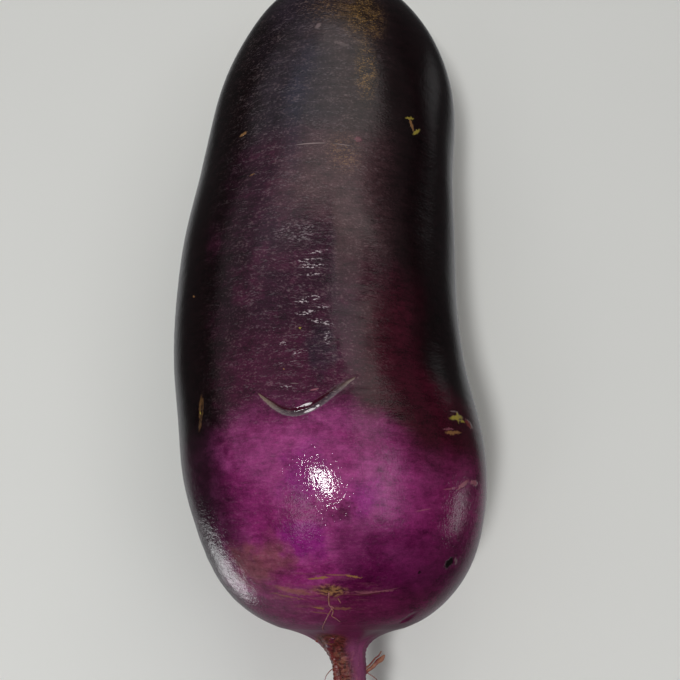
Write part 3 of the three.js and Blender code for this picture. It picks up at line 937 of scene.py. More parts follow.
def grow_root(form):
    start_fresh()
    root = skin_cage()
    smooth = root.modifiers.new("Rounding", "SUBSURF")
    smooth.levels = smooth.render_levels = CAGE_LEVELS
    apply_modifiers(root)

    flat = vertices_of(root)
    y, found = flat[:, 1], np.hypot(flat[:, 0], flat[:, 2])
    from_top = np.arctan2(flat[:, 0], flat[:, 2])
    from_top = from_top - CROWDING * np.sin(from_top)
    angle = math.pi / 2 - from_top
    rim = float(root_radius(RIM_Y))
    outside = (1.0 - ease(y, RIM_Y - 0.8 * MM, RIM_Y - 0.2 * MM)) * (found > rim - 0.9 * DISH_WALL)
    outside = outside + (1.0 - outside) * (y < RIM_Y - 1.2 * DISH_DEPTH)
    outside = outside * (y > TAPROOT_TIP_Y)
    smooth_radius = mix(found, root_radius(y) + lobe_height(angle, y), outside)

    low = root_relief(round_centre(y, angle, smooth_radius), y, angle, form, root)
    points = round_centre(y, angle, smooth_radius - low * outside)
    points[:, 2] = np.maximum(points[:, 2], 0.0)
    move_vertices(root, points)
    bpy.ops.object.shade_smooth()
    return root


def upper_skin(finish, colours, patch, cloudy, drifting):
    """Smoky on top, partly a painted reflection of a soft panel down the middle, and brownish at the
    crown, with painted shade darkening the sides to near-black, and wine red on the right.

    A pair of places along Y or across X says where a colour begins and where it is full.
    """
    x, y, rise, blend = finish.x, finish.y, finish.rise, finish.blend
    at_crown = rise(y, 0.020, 0.045)
    # Painted shade: outside this share the flanks on both sides turn near-black.
    lit = rise(x + cloudy - at_crown * 0.006, -0.0265, -0.0150) * rise(x + cloudy * 0.5, 0.0200, 0.0060)
    # Brownish grey on top; right of the middle it reaches further down as a painted reflection of a soft
    # panel.
    smoke_sheen_share = rise(y + cloudy - rise(x + cloudy * 0.15, 0.0036, 0.0014) * 0.013, -0.012, 0.006)
    smoke_sheen_share = smoke_sheen_share * rise(x + cloudy, -0.0140, 0.0000)
    redder = finish.strongest(rise(patch, 0.48, 0.62) * 0.6, rise(y + cloudy, -0.012, -0.024))
    upper = blend(redder, colours.plum, colours.mulberry)
    upper = blend(smoke_sheen_share, upper, colours.smoke_and_sheen)
    bark = blend(rise(x + cloudy, 0.0050, -0.0060) * 0.65, colours.bark, colours.slate)
    upper = blend(rise(y + cloudy * 0.7, 0.0255, 0.0345), upper, bark)
    for name, *mark, inner, share in CROWN_PATCHES:
        patchy = finish.spot(*mark, (inner, 1.1), PATCH_DEPTH, drifting)
        upper = blend(patchy * share, upper, getattr(colours, name))
    spread = x + cloudy * 0.6 + rise(y, -0.022, -0.036) * -0.020
    wine = rise(x, 0.004, 0.011) * rise(spread, 0.0250, 0.0150)
    wine = wine * rise(y + cloudy, 0.004, -0.014)
    return blend(wine, blend(lit, colours.night, upper), colours.wine)


def tail_skin(finish, colours, patch, cloudy, drifting):
    """Bright and blotched, with painted shade darkening both flanks and the right of its blunt end,
    darker towards that end, and combed at the crease.
    """
    x, y, rise, blend = finish.x, finish.y, finish.rise, finish.blend
    tail = blend(rise(patch, 0.40, 0.60), colours.magenta, colours.orchid)
    for name, *mark, inner, share in TAIL_PATCHES:
        patchy = finish.spot(*mark, (inner, 1.1), PATCH_DEPTH, drifting)
        tail = blend(patchy * (patch * 2.0 - 0.1) * share, tail, getattr(colours, name))
    # Painted shade on the right flank.
    tail = blend(rise(x + cloudy * 0.4, 0.0120, 0.0290) * 0.8, tail, colours.claret_and_shade)
    # Painted shade on the right of the blunt end, towards the blotch colour.
    end_shade = rise(x + cloudy * 0.5, 0.0005, 0.0055) * rise(-y + cloudy * 0.5, 0.0545, 0.0620)
    end_shade = end_shade * (0.64 + 0.26 * rise(y, -0.062, -0.070))
    tail = blend(end_shade, tail, colours.blotch)
    # Darker towards the blunt end.
    tail = blend(rise(y + cloudy * 0.3, -0.0680, -0.0740) * 0.75, tail, colours.claret_and_shade)
    combed = finish.noise(0.7, (9.0, 1.0, 9.0), detail=3.0, roughness=0.6, place=3.9)
    near_crease = finish.spot(*COMBED_MARK, (0.4, 1.1), PATCH_DEPTH)
    tail = blend(near_crease * rise(combed, 0.50, 0.64) * 0.55, tail, colours.russet)
    # Painted shade on the left flank, near-black.
    return blend(rise(x + cloudy * 0.4 + y * 0.12, -0.0212, -0.0320) * 0.92, tail, colours.night)


def skin_zones(finish, colours):
    """The skin from the near-black crown to the bright tail, how bright it is, and its patches."""
    x, y, rise = finish.x, finish.y, finish.rise
    broad = finish.noise(20, detail=3.0, place=4.1)
    patch = finish.noise(8.5, (1.3, 1.0, 1.3), detail=4.0, roughness=0.65, place=1.7)
    cloudy = (broad - 0.5) * 0.014 + (patch - 0.5) * 0.014
    drifting = finish.shaken(4, 0.010)
    upper = upper_skin(finish, colours, patch, cloudy, drifting)
    tail = tail_skin(finish, colours, patch, cloudy, drifting)

    # The tail brightens over a few millimetres, first on top and last on the flanks.
    flank = rise(x, 0.001, 0.012) * 0.0034 + rise(x, 0.012, 0.022) * 0.0055
    flank = flank + rise(x, -0.012, -0.024) * 0.0036
    bright = rise(-y + cloudy * 0.4 - flank, 0.0300, 0.0420)
    return finish.blend(bright, upper, tail), bright, patch


def fleck_and_glint_layer(finish, skin, colours, textures, bright):
    """Pale flecks on top and rows of short pale dashes that are painted glints of wet light, with masks
    of the dashes and the smooth strip.
    """
    x, y, rise, noise = finish.x, finish.y, finish.rise, finish.noise
    mottle, grain, grit = textures
    on_top = rise(x, -0.030, -0.012) * rise(x, 0.018, 0.004)
    fleck = rise(grain + (mottle - 0.5) * 0.8, 0.56, 0.74)
    skin = finish.blend(fleck * on_top * (0.22 - 0.14 * bright), skin, colours.pale)
    # Painted glints: rows of short pale dashes on top of the middle.
    rows = rise(noise(1, (6.0, 1.0, 6.0), detail=2.0, place=9.4), 0.50, 0.60)
    dash = rise(noise(0.34, (2.4, 1.0, 2.4), detail=2.0, roughness=0.6, place=12.6), 0.52, 0.64)
    glint_spots = [finish.spot(*mark, (0.5, 1.1)) * share for *mark, share in GLINT_ROWS]
    glints = finish.strongest(rows * 0.10, *glint_spots)
    strip = rise(x + (grit - 0.5) * 0.0008, 0.0018, 0.0032) * rise(x, 0.0120, 0.0095)
    strip = strip * rise(y, 0.020, 0.012)
    glint_dashes = dash * glints * on_top * (1.0 - bright * 0.6) * (1.0 - strip * 0.8)
    return finish.blend(glint_dashes, skin, colours.painted_glint), glint_dashes, strip


def skin_marks(finish, skin, colours, rough_place):
    """Scars, scratches and pores, each with its own colour, and how far the wide ones stand up."""
    raised = 0.0
    for name, *mark, share in MARKS:
        half_width = mark[3]
        ragged = rough_place if half_width > SCRATCH_WIDTH else None
        mask = finish.spot(*mark, (0.55, 1.05), MARK_DEPTH, ragged) * share
        skin = finish.blend(mask, skin, getattr(colours, name))
        if half_width > FLAT_MARK_WIDTH:
            raised = raised + mask * (-0.5 if name == "night" else 0.5)
    return skin, raised


def crack_layer(finish, skin, colours, grain):
    """The crack: a dark curl of skin and painted shade over a film of dried flesh, painted darker under
    its upper edge, that thins out at its ends, with painted highlights of wet light.
    """
    rise, blend = finish.rise, finish.blend
    across = finish.attribute("crack_across") + (grain - 0.5) * 0.5
    share = finish.attribute("crack_share")
    inside = rise(share, 0.005, 0.04) * rise(share, 0.995, 0.96)
    # The film darkens to painted shade towards the crack's upper edge.
    flesh = blend(rise(across, 0.5, -1.1), colours.groove_shade, colours.groove)
    dry_end = finish.strongest(rise(share, 0.34, 0.05), rise(share, 0.72, 0.95) * 0.7)
    flesh = blend(dry_end * 0.75, flesh, colours.groove_dry)
    flesh = blend(rise(grain, 0.50, 0.70) * 0.5, flesh, colours.pale)
    film = rise(across, -1.6, -1.15) * rise(across, 0.75, 0.35) * inside
    # Dark skin and painted shade along the upper edge, where the skin curls over.
    curl = rise(across, 0.30, 0.60) * rise(across, 1.9, 1.0) * inside
    skin = blend(curl * 0.75, skin, colours.wine_dark_and_shade)
    skin = blend(film, skin, flesh)
    # Painted highlights of wet light in the crack.
    for mark in CRACK_GLINTS:
        painted_glint = finish.spot(*mark, (0.7, 1.1)) * rise(grain, 0.34, 0.46)
        skin = blend(painted_glint, skin, colours.sheen)
    return skin


def crease_layer(finish, skin, colours, grain):
    """The crease of a side root, broken into pink dashes."""
    rise = finish.rise
    across = finish.maths("ABSOLUTE", finish.attribute("crease_across"))
    share = finish.attribute("crease_share")
    line = rise(across, 0.00030, 0.00008) * rise(grain, 0.42, 0.60)
    line = line * rise(share, 0.0, 0.05) * rise(share, 1.0, 0.9)
    return finish.blend(line * 0.55, skin, colours.pink)


def taproot_layer(finish, skin, colours, patch, fibres, folds):
    """The taproot and the brown fibres beside the side root, with a mask for each."""
    y, rise, blend = finish.y, finish.rise, finish.blend
    taproot = rise(y + (patch - 0.5) * 0.004, -0.0795, -0.0835)
    beside = rise(finish.attribute("strand_away") + (folds - 0.5) * 0.002, 0.0050, 0.0026)
    beside = beside * rise(y, -0.0785, -0.0800)
    bark = blend(rise(fibres, 0.42, 0.62), colours.strand_dark, colours.strand)
    bark = blend(rise(folds, 0.52, 0.68) * 0.6, bark, colours.rootlet)
    tip = rise(y, -0.095, -0.125)
    root_colour = blend(rise(fibres, 0.48, 0.66) * 0.35, colours.taproot, colours.pink)
    root_colour = blend(tip * 0.6, root_colour, bark)
    skin = blend(taproot, skin, root_colour)
    return blend(beside, skin, bark), taproot, beside


def skin_finish(colours):
    """Wet, mottled skin with its marks, its crack, the taproot and the corky rim of the crown."""
    finish = Finish(bpy.data.materials.new("radish skin"))
    x, y = finish.x, finish.y
    rise, blend, noise, spot = finish.rise, finish.blend, finish.noise, finish.spot
    rough_place = finish.shaken(0.7, 0.0012)
    skin, bright, patch = skin_zones(finish, colours)

    # Mottled at every size, with fine transverse streaks.
    mottle = noise(2.4, (1.7, 1.0, 1.7), detail=5.0, roughness=0.80, place=7.3)
    streak = noise(0.9, (5.0, 1.0, 5.0), detail=3.0, roughness=0.65, place=6.1)
    grain = noise(0.42, (1.6, 1.0, 1.6), detail=2.0, roughness=0.6, place=2.9)
    grit = noise(0.21, (1.3, 1.0, 1.3), detail=1.0, place=8.4)
    shade = (mottle - 0.5) * 2.2 + (streak - 0.5) * (1.2 - 0.5 * bright) + (patch - 0.5) * 0.9
    shade = shade + ((grain - 0.5) * 0.9 + (grit - 0.5) * 1.1) * (1.0 - 0.55 * bright) + 1.0
    skin = blend(1.0, skin, finish.maths("MAXIMUM", shade, 0.25 + 0.22 * bright), "MULTIPLY")

    # Painted glints of wet light in rows on top.
    skin, glint_dashes, strip = fleck_and_glint_layer(finish, skin, colours, (mottle, grain, grit), bright)

    # Golden cork speckles the crown's right shoulder.
    speckled = finish.strongest(*[spot(*mark, (inner, 1.1), SPECKLE_DEPTH) * share
                                  for *mark, inner, share in GOLD_PATCHES])
    gold = rise(mottle * 0.5 + grain * 0.6 + grit * 0.6, 0.84, 1.02)
    skin = blend(speckled * gold, skin, colours.gold)
    skin, raised = skin_marks(finish, skin, colours, rough_place)

    # A netted lens of cork lies on the crease of a side root.
    skin = crease_layer(finish, crack_layer(finish, skin, colours, grain), colours, grain)
    lens = spot(*CORK_MARK, (0.30, 1.0), ragged=rough_place)
    net = rise(noise(0.55, (1.8, 1.0, 1.8), detail=2.0, place=1.3), 0.42, 0.58)
    cork = blend(net, colours.cork_dark, colours.cork)
    skin = blend(lens * 0.9, skin, cork)

    # The taproot and its flare.
    fibres = noise(0.6, (1.0, 6.0, 1.0), detail=3.0, roughness=0.65, place=5.8)
    folds = noise(0.9, (2.2, 1.0, 2.2), detail=3.0, roughness=0.6, distortion=0.8, place=4.7)
    skin, taproot, beside = taproot_layer(finish, skin, colours, patch, fibres, folds)

    # Bare cork on the rim round the crown.
    rim = rise(y + (patch - 0.5) * 0.003, 0.0865, 0.0885)
    skin = blend(rim * 0.8, skin, cork)

    # The wet film breaks up the light on the bright tail; the dark skin is drier and finely ribbed.
    wet = noise(0.9, (0.85, 1.35, 0.85), detail=2.5, roughness=0.5, distortion=1.4, place=3.1)
    dull = 0.3 * lens + 0.2 * rim + 0.15 * taproot + 0.22 * rise(y, -0.0750, -0.0785)
    roughness = 0.05 + 0.06 * patch + 0.04 * (1.0 - bright) + 0.25 * glint_dashes + dull
    rough = (1.0 - bright) * (1.0 - 0.75 * strip)
    height = wet * bright * 0.60 + (streak * 0.45 + grain * 0.55) * rough
    normal = finish.bump(height, 0.0001)
    crumpled = rise(-x, 0.010, 0.018) * rise(-y, 0.044, 0.056)
    ruffle = raised + folds * (beside * 1.5 + crumpled * 0.5) + (fibres + folds * 0.8) * taproot
    normal = finish.bump(ruffle, 0.00022, over=normal)
    return finish.close(skin, roughness, normal, IOR=FLESH_IOR)


def strand_finish(colours):
    """Brown, fibrous and wet, with a purple blush where it leaves the root."""
    finish = Finish(bpy.data.materials.new("side root skin"))
    fibre = finish.noise(0.8, (1.0, 4.0, 1.0), detail=3.0, roughness=0.65, place=3.3)
    patch = finish.noise(2, detail=2.0, place=8.2)
    skin = finish.blend(finish.rise(patch, 0.40, 0.62), colours.strand, colours.strand_dark)
    skin = finish.blend(finish.rise(fibre, 0.56, 0.70) * 0.6, skin, colours.rootlet)
    foot = finish.rise(finish.y + (patch - 0.5) * 0.006, -0.0850, -0.0805)
    skin = finish.blend(foot * 0.8, skin, colours.claret_and_shade)
    normal = finish.bump(fibre, 0.00035)
    return finish.close(skin, 0.18 + patch * 0.2, normal, IOR=FIBRE_IOR)


def rootlet_finish(colours):
    finish = Finish(bpy.data.materials.new("rootlet"))
    fibre = finish.noise(0.7, detail=3.0, roughness=0.6, place=1.1)
    patch = finish.noise(2.8, detail=2.0, place=6.6)
    skin = finish.blend(finish.rise(patch, 0.42, 0.60), colours.rootlet, colours.strand)
    skin = finish.blend(finish.rise(fibre, 0.50, 0.70) * 0.5, skin, colours.cork)
    return finish.close(skin, 0.35 + fibre * 0.2, finish.bump(fibre, 0.00025), IOR=FIBRE_IOR)


def hair_finish(colours):
    finish = Finish(bpy.data.materials.new("root hair"))
    patch = finish.noise(1.2, detail=2.0, place=2.4)
    skin = finish.blend(finish.rise(patch, 0.40, 0.62), colours.hair, colours.rootlet)
    return finish.close(skin, 0.40 + patch * 0.1, finish.bump(patch, 0.0001), IOR=FIBRE_IOR)


def stalk_finish(colours):
    """Green at the top, blushed purple at the foot, with pale cut ends dotted by fibres."""
    finish = Finish(bpy.data.materials.new("leaf stalk"))
    fibre = finish.noise(0.6, (1.0, 9.0, 1.0), detail=3.0, roughness=0.6, place=2.2)
    patch = finish.noise(3.5, detail=2.0, place=5.4)
    foot_y = RIM_Y + 0.0005
    height = (finish.y - foot_y) / (CUT_HEIGHT - 0.001)
    green = finish.blend(finish.rise(fibre, 0.42, 0.62) * 0.6, colours.stalk, colours.stalk_rib)
    blush = 1.0 - finish.rise(height + (patch - 0.5) * 0.7, 0.05, 0.75)
    skin = finish.blend(blush * 0.85, green, colours.stalk_base)
    foot = 1.0 - finish.rise(height + (patch - 0.5) * 0.2, -0.02, 0.16)
    skin = finish.blend(foot, skin, colours.heart)

    # The slanted cut: its height above the seat falls towards one side of the crown.
    seat = crown_seat()
    above = (finish.y - seat.y) * math.cos(CUT_TILT) + (finish.z - seat.z) * math.sin(CUT_TILT)
    cut = finish.rise(above, CUT_HEIGHT - 0.00006, CUT_HEIGHT - 0.00003)
    bundle = finish.node("ShaderNodeTexVoronoi", {"feature": "F1"},
                         {"Vector": finish.place, "Scale": CUT_FIBRES, "Randomness": 0.8}, "Distance")
    pith = finish.blend(1.0 - finish.rise(bundle, 0.12, 0.34), colours.stalk_cut, colours.stalk_rib)
    pith = finish.blend(finish.rise(patch, 0.5, 0.7) * 0.5, pith, colours.stalk_dry)
    skin = finish.blend(cut, skin, pith)
    roughness = 0.45 + patch * 0.15
    normal = finish.bump(fibre * 0.6 - finish.rise(bundle, 0.1, 0.3) * cut * 0.4, 0.00025)
    return finish.close(skin, roughness, normal, IOR=FLESH_IOR)


# ---- The side root, the rootlets and the hairs -----------

def wander(points, amount, size, seed):
    """A line moved off itself by smooth noise, more and more towards its tip."""
    share = np.linspace(0.0, 1.0, len(points))[:, None]
    shift = np.column_stack([cloud(points, size, place=seed + axis * 5.3) for axis in range(3)])
    return points + amount * share * shift


def grow_side_root(form):
    points = through(STRAND_PATH, 90)
    share = np.linspace(0.0, 1.0, len(points))
    lumps = 1.0 + 0.07 * np.cos(2 * math.pi * points[:, 1] / form.ring_pitch)
    lumps = lumps * (1.0 + 0.16 * cloud(points, 0.0022, place=4.4))
    return tube("side_root", points, mix(STRAND_RADIUS, STRAND_TIP_RADIUS, share) * lumps, sides=8)


def rootlet_paths(form):
    random = random_from(ROOTLET_SEED)
    for i in range(form.rootlets):
        y = mix(ROOTLETS_FROM_Y, ROOTLETS_TO_Y, (i + next(random)) / form.rootlets)
        heading = (i % 2) * math.pi + mix(-ROOTLET_SWING, ROOTLET_SWING, next(random))
        reach = mix(*ROOTLET_LENGTH, next(random) ** 1.5)
        trail = mix(*ROOTLET_TRAIL, next(random))
        droop = mix(*ROOTLET_DROOP, next(random))
        centre = round_centre(y, 0.0, 0.0)
        steps = [(0.0, 0.0, 0.0), (0.4, trail * 0.1, 0.0), (0.7, trail * 0.5, droop * 0.4),
                 (0.85, trail, droop)]
        yield [centre + reach * np.array([out * math.cos(heading), -back,
                                          out * math.sin(heading) - down])
               for out, back, down in steps]


def grow_rootlets(form):
    grown = []
    for i, path in enumerate(rootlet_paths(form)):
        points = wander(through(path, 26), amount=0.0006, size=0.0023, seed=i * 3.1)
        share = np.linspace(0.0, 1.0, len(points))
        radii = mix(ROOTLET_RADIUS, ROOTLET_TIP_RADIUS, share) * (1.0 + 0.5 * np.exp(-share * 14.0))
        radii = radii * (1.0 + 0.12 * cloud(points, 0.0011, place=7.7))
        grown.append(tube("rootlet", points, radii * (1.0 - 0.75 * ease(share, 0.86, 1.0))))
    grown.append(dried_rootlet())
    spike = wander(through(SPIKE_PATH, 16), amount=0.0003, size=0.0016, seed=2.2)
    share = np.linspace(0.0, 1.0, len(spike))
    grown.append(tube("rootlet", spike, mix(SPIKE_RADIUS, SPIKE_TIP_RADIUS, share ** 0.8)))
    return join(grown, "rootlets")


def dried_rootlet():
    """A shrivelled rootlet: a thin ribbon that widens at its torn end, with a fibre along one edge."""
    points = wander(through(DRIED_ROOTLET_PATH, 30), amount=0.0005, size=0.0019, seed=9.1)
    share = np.linspace(0.0, 1.0, len(points))
    radii = np.interp(share, DRIED_ROOTLET_SHARES, DRIED_ROOTLET_RADII)
    radii = radii * (1.0 + 0.18 * cloud(points, 0.0008, place=3.3))
    ribbon = tube("rootlet", points, radii, sides=4)
    shaped = vertices_of(ribbon)
    heights = np.interp(shaped[:, 0], points[:, 0], points[:, 2])
    shaped[:, 2] = mix(heights, shaped[:, 2], DRIED_ROOTLET_FLATNESS)
    move_vertices(ribbon, shaped)
    beside = np.array(DRIED_FIBRE_OFFSET) * (0.4 + 1.2 * share)[:, None]
    fibre = tube("rootlet", points + beside, DRIED_FIBRE_RADIUS * (1.3 - 0.7 * share))
    return join([ribbon, fibre], "rootlet")


def grow_hairs(form):
    grown = []
    for path in SKIN_HAIRS:
        flat = through(path, 6 * len(path))
        lift = np.array([skin_normal(x, y) for x, y in flat]) * HAIR_RADIUS * 0.8
        points = np.array([skin_above(x, y) for x, y in flat]) + lift
        share = np.linspace(0.0, 1.0, len(points))
        radii = HAIR_RADIUS * (1.25 - 0.75 * share) * (1.0 + 0.25 * cloud(points, 0.0008, place=1.9))
        grown.append(tube("hair", points, radii, sides=1))
    random = random_from(HAIR_SEED)
    for i in range(form.hairs):
        y = mix(*TAPROOT_HAIRS_Y, (i + next(random)) / form.hairs)
        angle = 2 * math.pi * next(random)
        reach = mix(*TAPROOT_HAIR_LENGTH, next(random) ** 2)
        trail = mix(*TAPROOT_HAIR_TRAIL, next(random))
        centre = round_centre(y, 0.0, 0.0)
        out = np.array([math.cos(angle), 0.0, math.sin(angle)])
        foot = centre + out * (float(root_radius(y)) - 0.0003)
        bend = out * 0.6 * reach + np.array([0.0, -0.5 * trail * reach, 0.0])
        tip = out * 0.8 * reach + np.array([0.0, -trail * reach, -0.15 * reach])
        curve = through([foot, foot + bend, foot + tip], 12)
        points = wander(curve, amount=0.0007, size=0.0016, seed=i * 1.7)
        share = np.linspace(0.0, 1.0, len(points))
        grown.append(tube("hair", points, HAIR_RADIUS * mix(1.1, 0.4, share), sides=0))
    return join(grown, "root_hairs")


# ---- The leaf stalks -------------------------------------

def crown_heart():
    """The low dome in the crown's dish that the stalks grow from."""
    width = float(root_radius(RIM_Y)) - DISH_WALL - SEAT_GAP
    start_fresh()
    bpy.ops.mesh.primitive_circle_add(vertices=HEART_SIDES, radius=width, fill_type="NGON")
    extrude_through(HEART_STEPS, axis=2)
    return name_active("leaf_stalks")


def stalk_model():
    """A stalk one unit wide and thick: ribbed on its round outer side, hollow on its inner one."""
    start_fresh()
    bpy.ops.mesh.primitive_circle_add(vertices=STALK_SIDES, radius=0.5, fill_type="NGON")
    stalk = bpy.context.object
    ring = vertices_of(stalk)
    angle = np.arctan2(ring[:, 1], ring[:, 0])
    outer = ring[:, 1] < 0.0
    ribs = STALK_RIB_HEIGHT * np.cos(angle * 2 * STALK_RIBS)
    ring[:, 0] = np.cos(angle) * (0.5 + np.where(outer, ribs, 0.0))
    bulge = np.abs(np.sin(angle)) ** STALK_FULLNESS
    ring[:, 1] = np.where(outer, -bulge * (STALK_BULGE + ribs), -STALK_HOLLOW * bulge)
    move_vertices(stalk, ring)
    extrude_through([(z, 1.0) for z in np.linspace(0.0, STALK_LENGTH, STALK_SEGMENTS + 1)], axis=2)
    return stalk


def place_stalk(model, index, count):
    """A copy of the stalk, sized by its age, leaning away from the heart of the crown."""
    age = math.sqrt((index + 0.5) / count)
    angle = index * GOLDEN_ANGLE
    start_fresh(model)
    bpy.ops.object.duplicate()
    stalk = bpy.context.object
    points = vertices_of(stalk)
    share = points[:, 2] / STALK_LENGTH
    flare = 1.0 + 0.06 * np.exp(-share * 6.0) + 0.05 * cloud(points * 0.004 + index, 0.002)
    points[:, 0] = points[:, 0] * mix(*STALK_WIDTH, age) * flare
    points[:, 1] = points[:, 1] * mix(*STALK_THICKNESS, age) * flare
    move_vertices(stalk, points)
    turn = Matrix.Rotation(angle, 4, "Z") @ Matrix.Rotation(mix(*STALK_LEAN, age), 4, "X")
    out = STALK_SPREAD * age
    foot = Vector((out * math.sin(angle), -out * math.cos(angle), STALK_FOOT))
    stalk.data.transform(Matrix.Translation(foot) @ turn)
    return stalk


def grow_stalks(form):
    """The stalks united with the heart, cut off by one slanted stroke and set in the crown."""
    heart = crown_heart()
    model = stalk_model()
    stalks = [place_stalk(model, i, form.stalks) for i in range(form.stalks)]
    for stalk in stalks:
        union = heart.modifiers.new("Union", "BOOLEAN")
        union.operation, union.solver, union.object = "UNION", "MANIFOLD", stalk
        apply_modifiers(heart)
    for used in [model, *stalks]:
        bpy.data.objects.remove(used)
    start_fresh(heart)
    edit_all()
    slant = Matrix.Rotation(CUT_TILT, 3, "X") @ Vector((0.0, 0.0, 1.0))
    bpy.ops.mesh.bisect(plane_co=slant * CUT_HEIGHT, plane_no=slant, use_fill=True, clear_outer=True)
    bpy.ops.mesh.select_all(action="SELECT")
    bpy.ops.mesh.quads_convert_to_tris()
    bpy.ops.object.mode_set(mode="OBJECT")
    heart.data.transform(Matrix.Translation(crown_seat()) @ Matrix.Rotation(-math.pi / 2, 4, "X"))
    heart.data.materials.clear()
    bpy.ops.object.shade_smooth_by_angle(angle=SHARP_ANGLE)
    return heart


# ---- The steps -------------------------------------------

class RADISH_OT_root(bpy.types.Operator):
    """Grow the swollen root and its taproot, with the skin's relief and colours"""

    bl_idname = "radish.root"
    bl_label = "Root and skin"

    def execute(self, context):
        form, colours = context.scene.radish_form, context.scene.radish_colours
        settle(grow_root(form), skin_finish(colours), "radish_root")
        return {"FINISHED"}


class RADISH_OT_side_root(bpy.types.Operator):
    """Grow the side root that hugs the taproot"""

    bl_idname = "radish.side_root"
    bl_label = "Side root"

    def execute(self, context):
        form, colours = context.scene.radish_form, context.scene.radish_colours
        settle(grow_side_root(form), strand_finish(colours), None)
        return {"FINISHED"}


class RADISH_OT_rootlets(bpy.types.Operator):
    """Grow the rootlets of the taproot and the fine hairs"""

    bl_idname = "radish.rootlets"
    bl_label = "Rootlets and hairs"

    def execute(self, context):
        form, colours = context.scene.radish_form, context.scene.radish_colours
        settle(grow_rootlets(form), rootlet_finish(colours), None)
        settle(grow_hairs(form), hair_finish(colours), None)
        return {"FINISHED"}


class RADISH_OT_stalks(bpy.types.Operator):
    """Grow the trimmed leaf stalks in the crown"""

    bl_idname = "radish.stalks"
    bl_label = "Leaf stalks"

    def execute(self, context):
        form, colours = context.scene.radish_form, context.scene.radish_colours
        settle(grow_stalks(form), stalk_finish(colours), "leaf_stubs")
        return {"FINISHED"}


class RADISH_OT_stage(bpy.types.Operator):
    """Set up the floor, the lights and the camera"""

    bl_idname = "radish.stage"
    bl_label = "Stage"

    def execute(self, context):
        light = context.scene.radish_light
        lay_floor(light)
        start_fresh()
        hang_tubes(light.tubes)
        light_room(light)
        place_camera()
        context.scene.view_settings.view_transform = "Standard"
        return {"FINISHED"}


# ---- The stage -------------------------------------------

def lay_floor(light):
    start_fresh()
    bpy.ops.mesh.primitive_plane_add(size=FLOOR_SIZE, location=(0, 0, 0))
    floor = bpy.context.object
    floor.name = "floor"
    finish = Finish(bpy.data.materials.new("floor"))
    mottle = finish.noise(50, detail=3.0)
    away = finish.vector("LENGTH", finish.place, output="Value")
    # Painted pool of light: the floor fades to near-black away from the radish.
    shade = finish.blend(finish.rise(away, *FLOOR_FADE) * 0.94, light.floor, (0.03, 0.03, 0.03))
    shade = finish.blend(mottle * 0.08, shade, (0.6, 0.6, 0.6))
    floor.data.materials.append(finish.close(shade, 0.6 + mottle * 0.1, finish.bump(mottle, 0.0002)))
    # The skin mirrors the softer glow of the room below it instead of the floor.
    floor.visible_glossy = False


def hang_tubes(strength):
    """Flat lights that shine straight down."""
    for name, place, size, heading, radiance in TUBES:
        bpy.ops.object.light_add(type="AREA", location=place, rotation=(0, 0, math.radians(heading)))
        lamp = bpy.context.object
        lamp.name = name
        lamp.data.shape = "RECTANGLE"
        lamp.data.size, lamp.data.size_y = size
        lamp.data.energy = strength * radiance * math.pi * size[0] * size[1]


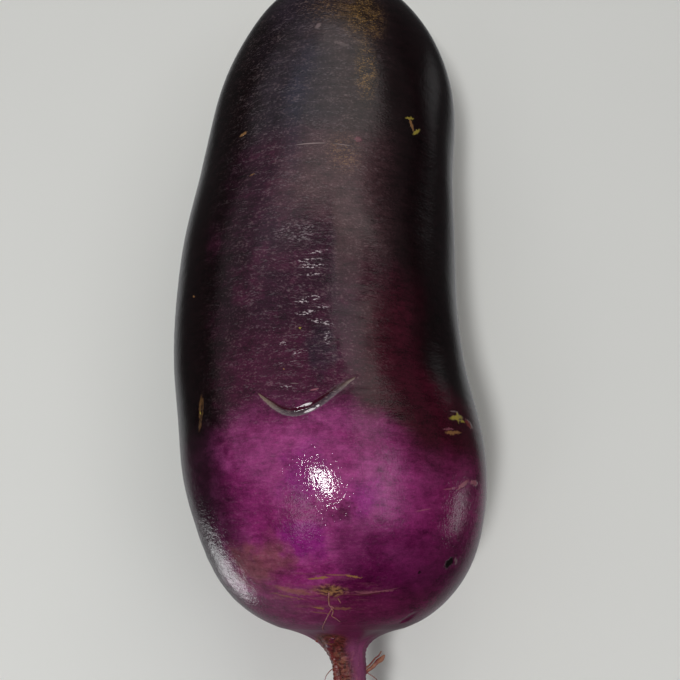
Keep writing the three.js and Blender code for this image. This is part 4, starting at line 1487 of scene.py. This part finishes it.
def light_room(light):
    """The room around: soft panels above the horizon and the glow that the flanks mirror below it."""
    world = bpy.data.worlds.new("room")
    bpy.context.scene.world = world
    room = Finish(world)
    way = room.node("ShaderNodeTexCoord", output="Generated")
    east, north, up = (room.node("ShaderNodeSeparateXYZ", values={"Vector": way}, output=axis)
                       for axis in ("X", "Y", "Z"))
    height = room.maths("MAXIMUM", up, 0.01)
    side, ahead = east / height, north / height

    # A dim ceiling, darker to the right and behind, and the soft panels.
    dim = light.room * (0.35 + 0.65 * room.rise(side, 1.2, -0.6)) * room.rise(ahead, -0.9, -0.5)
    glow = room.vector("MULTIPLY", dim * room.rise(up, -0.02, 0.2), (1.0, 0.99, 0.98))
    for across, onward, strength, tint in PANELS:
        inside = room.rise(side, *across[:2]) * room.rise(side, *across[:1:-1])
        inside = inside * room.rise(ahead, *onward[:2]) * room.rise(ahead, *onward[:1:-1])
        tint = tuple(light.panels * strength * part for part in tint)
        glow = room.vector("MULTIPLY_ADD", inside * room.rise(up, 0.0, 0.05), tint, glow)

    # Below the horizon: a faint glow from straight below, and the streaks.
    below = 0.04 + room.rise(up, -0.64, -0.84) * (0.13 + 0.15 * room.rise(north, -0.5, 0.1))
    for toward, outer, inner, strength in STREAKS:
        near = room.vector("DOT_PRODUCT", way, Vector(toward).normalized(), output="Value")
        below = below + strength * room.rise(near, math.cos(math.radians(outer)),
                                             math.cos(math.radians(inner)))
    below = light.glow * below * room.rise(up, 0.01, -0.01)
    glow = room.vector("MULTIPLY_ADD", below, (0.98, 0.99, 1.0), glow)
    sky = room.node("ShaderNodeBackground", values={"Color": glow})
    room.node("ShaderNodeOutputWorld", values={"Surface": sky}, output=None)


def place_camera():
    bpy.ops.object.camera_add(location=CAMERA_PLACE)
    camera = bpy.context.object
    ahead = Vector(CAMERA_LOOK).normalized()
    right = ahead.cross(Vector((0, 1, 0))).normalized()
    camera.rotation_euler = Matrix((right, right.cross(ahead), -ahead)).transposed().to_euler()
    camera.data.lens = LENS_MM
    camera.data.sensor_width = SENSOR_MM
    camera.data.clip_start = 0.01
    bpy.context.scene.camera = camera


# ---- The add-on ------------------------------------------

class RADISH_PT_panel(bpy.types.Panel):
    """Steps that build the radish, in order"""

    bl_idname = "RADISH_PT_panel"
    bl_label = "Purple Daikon Radish"
    bl_space_type = "VIEW_3D"
    bl_region_type = "UI"
    bl_category = "Radish"

    def draw(self, context):
        for step in STEPS:
            self.layout.operator(step.bl_idname)
        scene = context.scene
        for group in (scene.radish_form, scene.radish_colours, scene.radish_light):
            box = self.layout.box()
            for name in group.__annotations__:
                box.prop(group, name)


STEPS = (RADISH_OT_stage, RADISH_OT_root, RADISH_OT_side_root, RADISH_OT_rootlets, RADISH_OT_stalks)
CLASSES = (RadishForm, RadishColours, RadishLight, *STEPS, RADISH_PT_panel)


def register():
    for kind in CLASSES:
        bpy.utils.register_class(kind)
    bpy.types.Scene.radish_form = PointerProperty(type=RadishForm)
    bpy.types.Scene.radish_colours = PointerProperty(type=RadishColours)
    bpy.types.Scene.radish_light = PointerProperty(type=RadishLight)


def unregister():
    del bpy.types.Scene.radish_light
    del bpy.types.Scene.radish_colours
    del bpy.types.Scene.radish_form
    for kind in reversed(CLASSES):
        bpy.utils.unregister_class(kind)


def main():
    register()
    bpy.ops.radish.stage()
    bpy.ops.radish.root()
    bpy.ops.radish.side_root()
    bpy.ops.radish.rootlets()
    bpy.ops.radish.stalks()


if __name__ == "__main__":
    main()
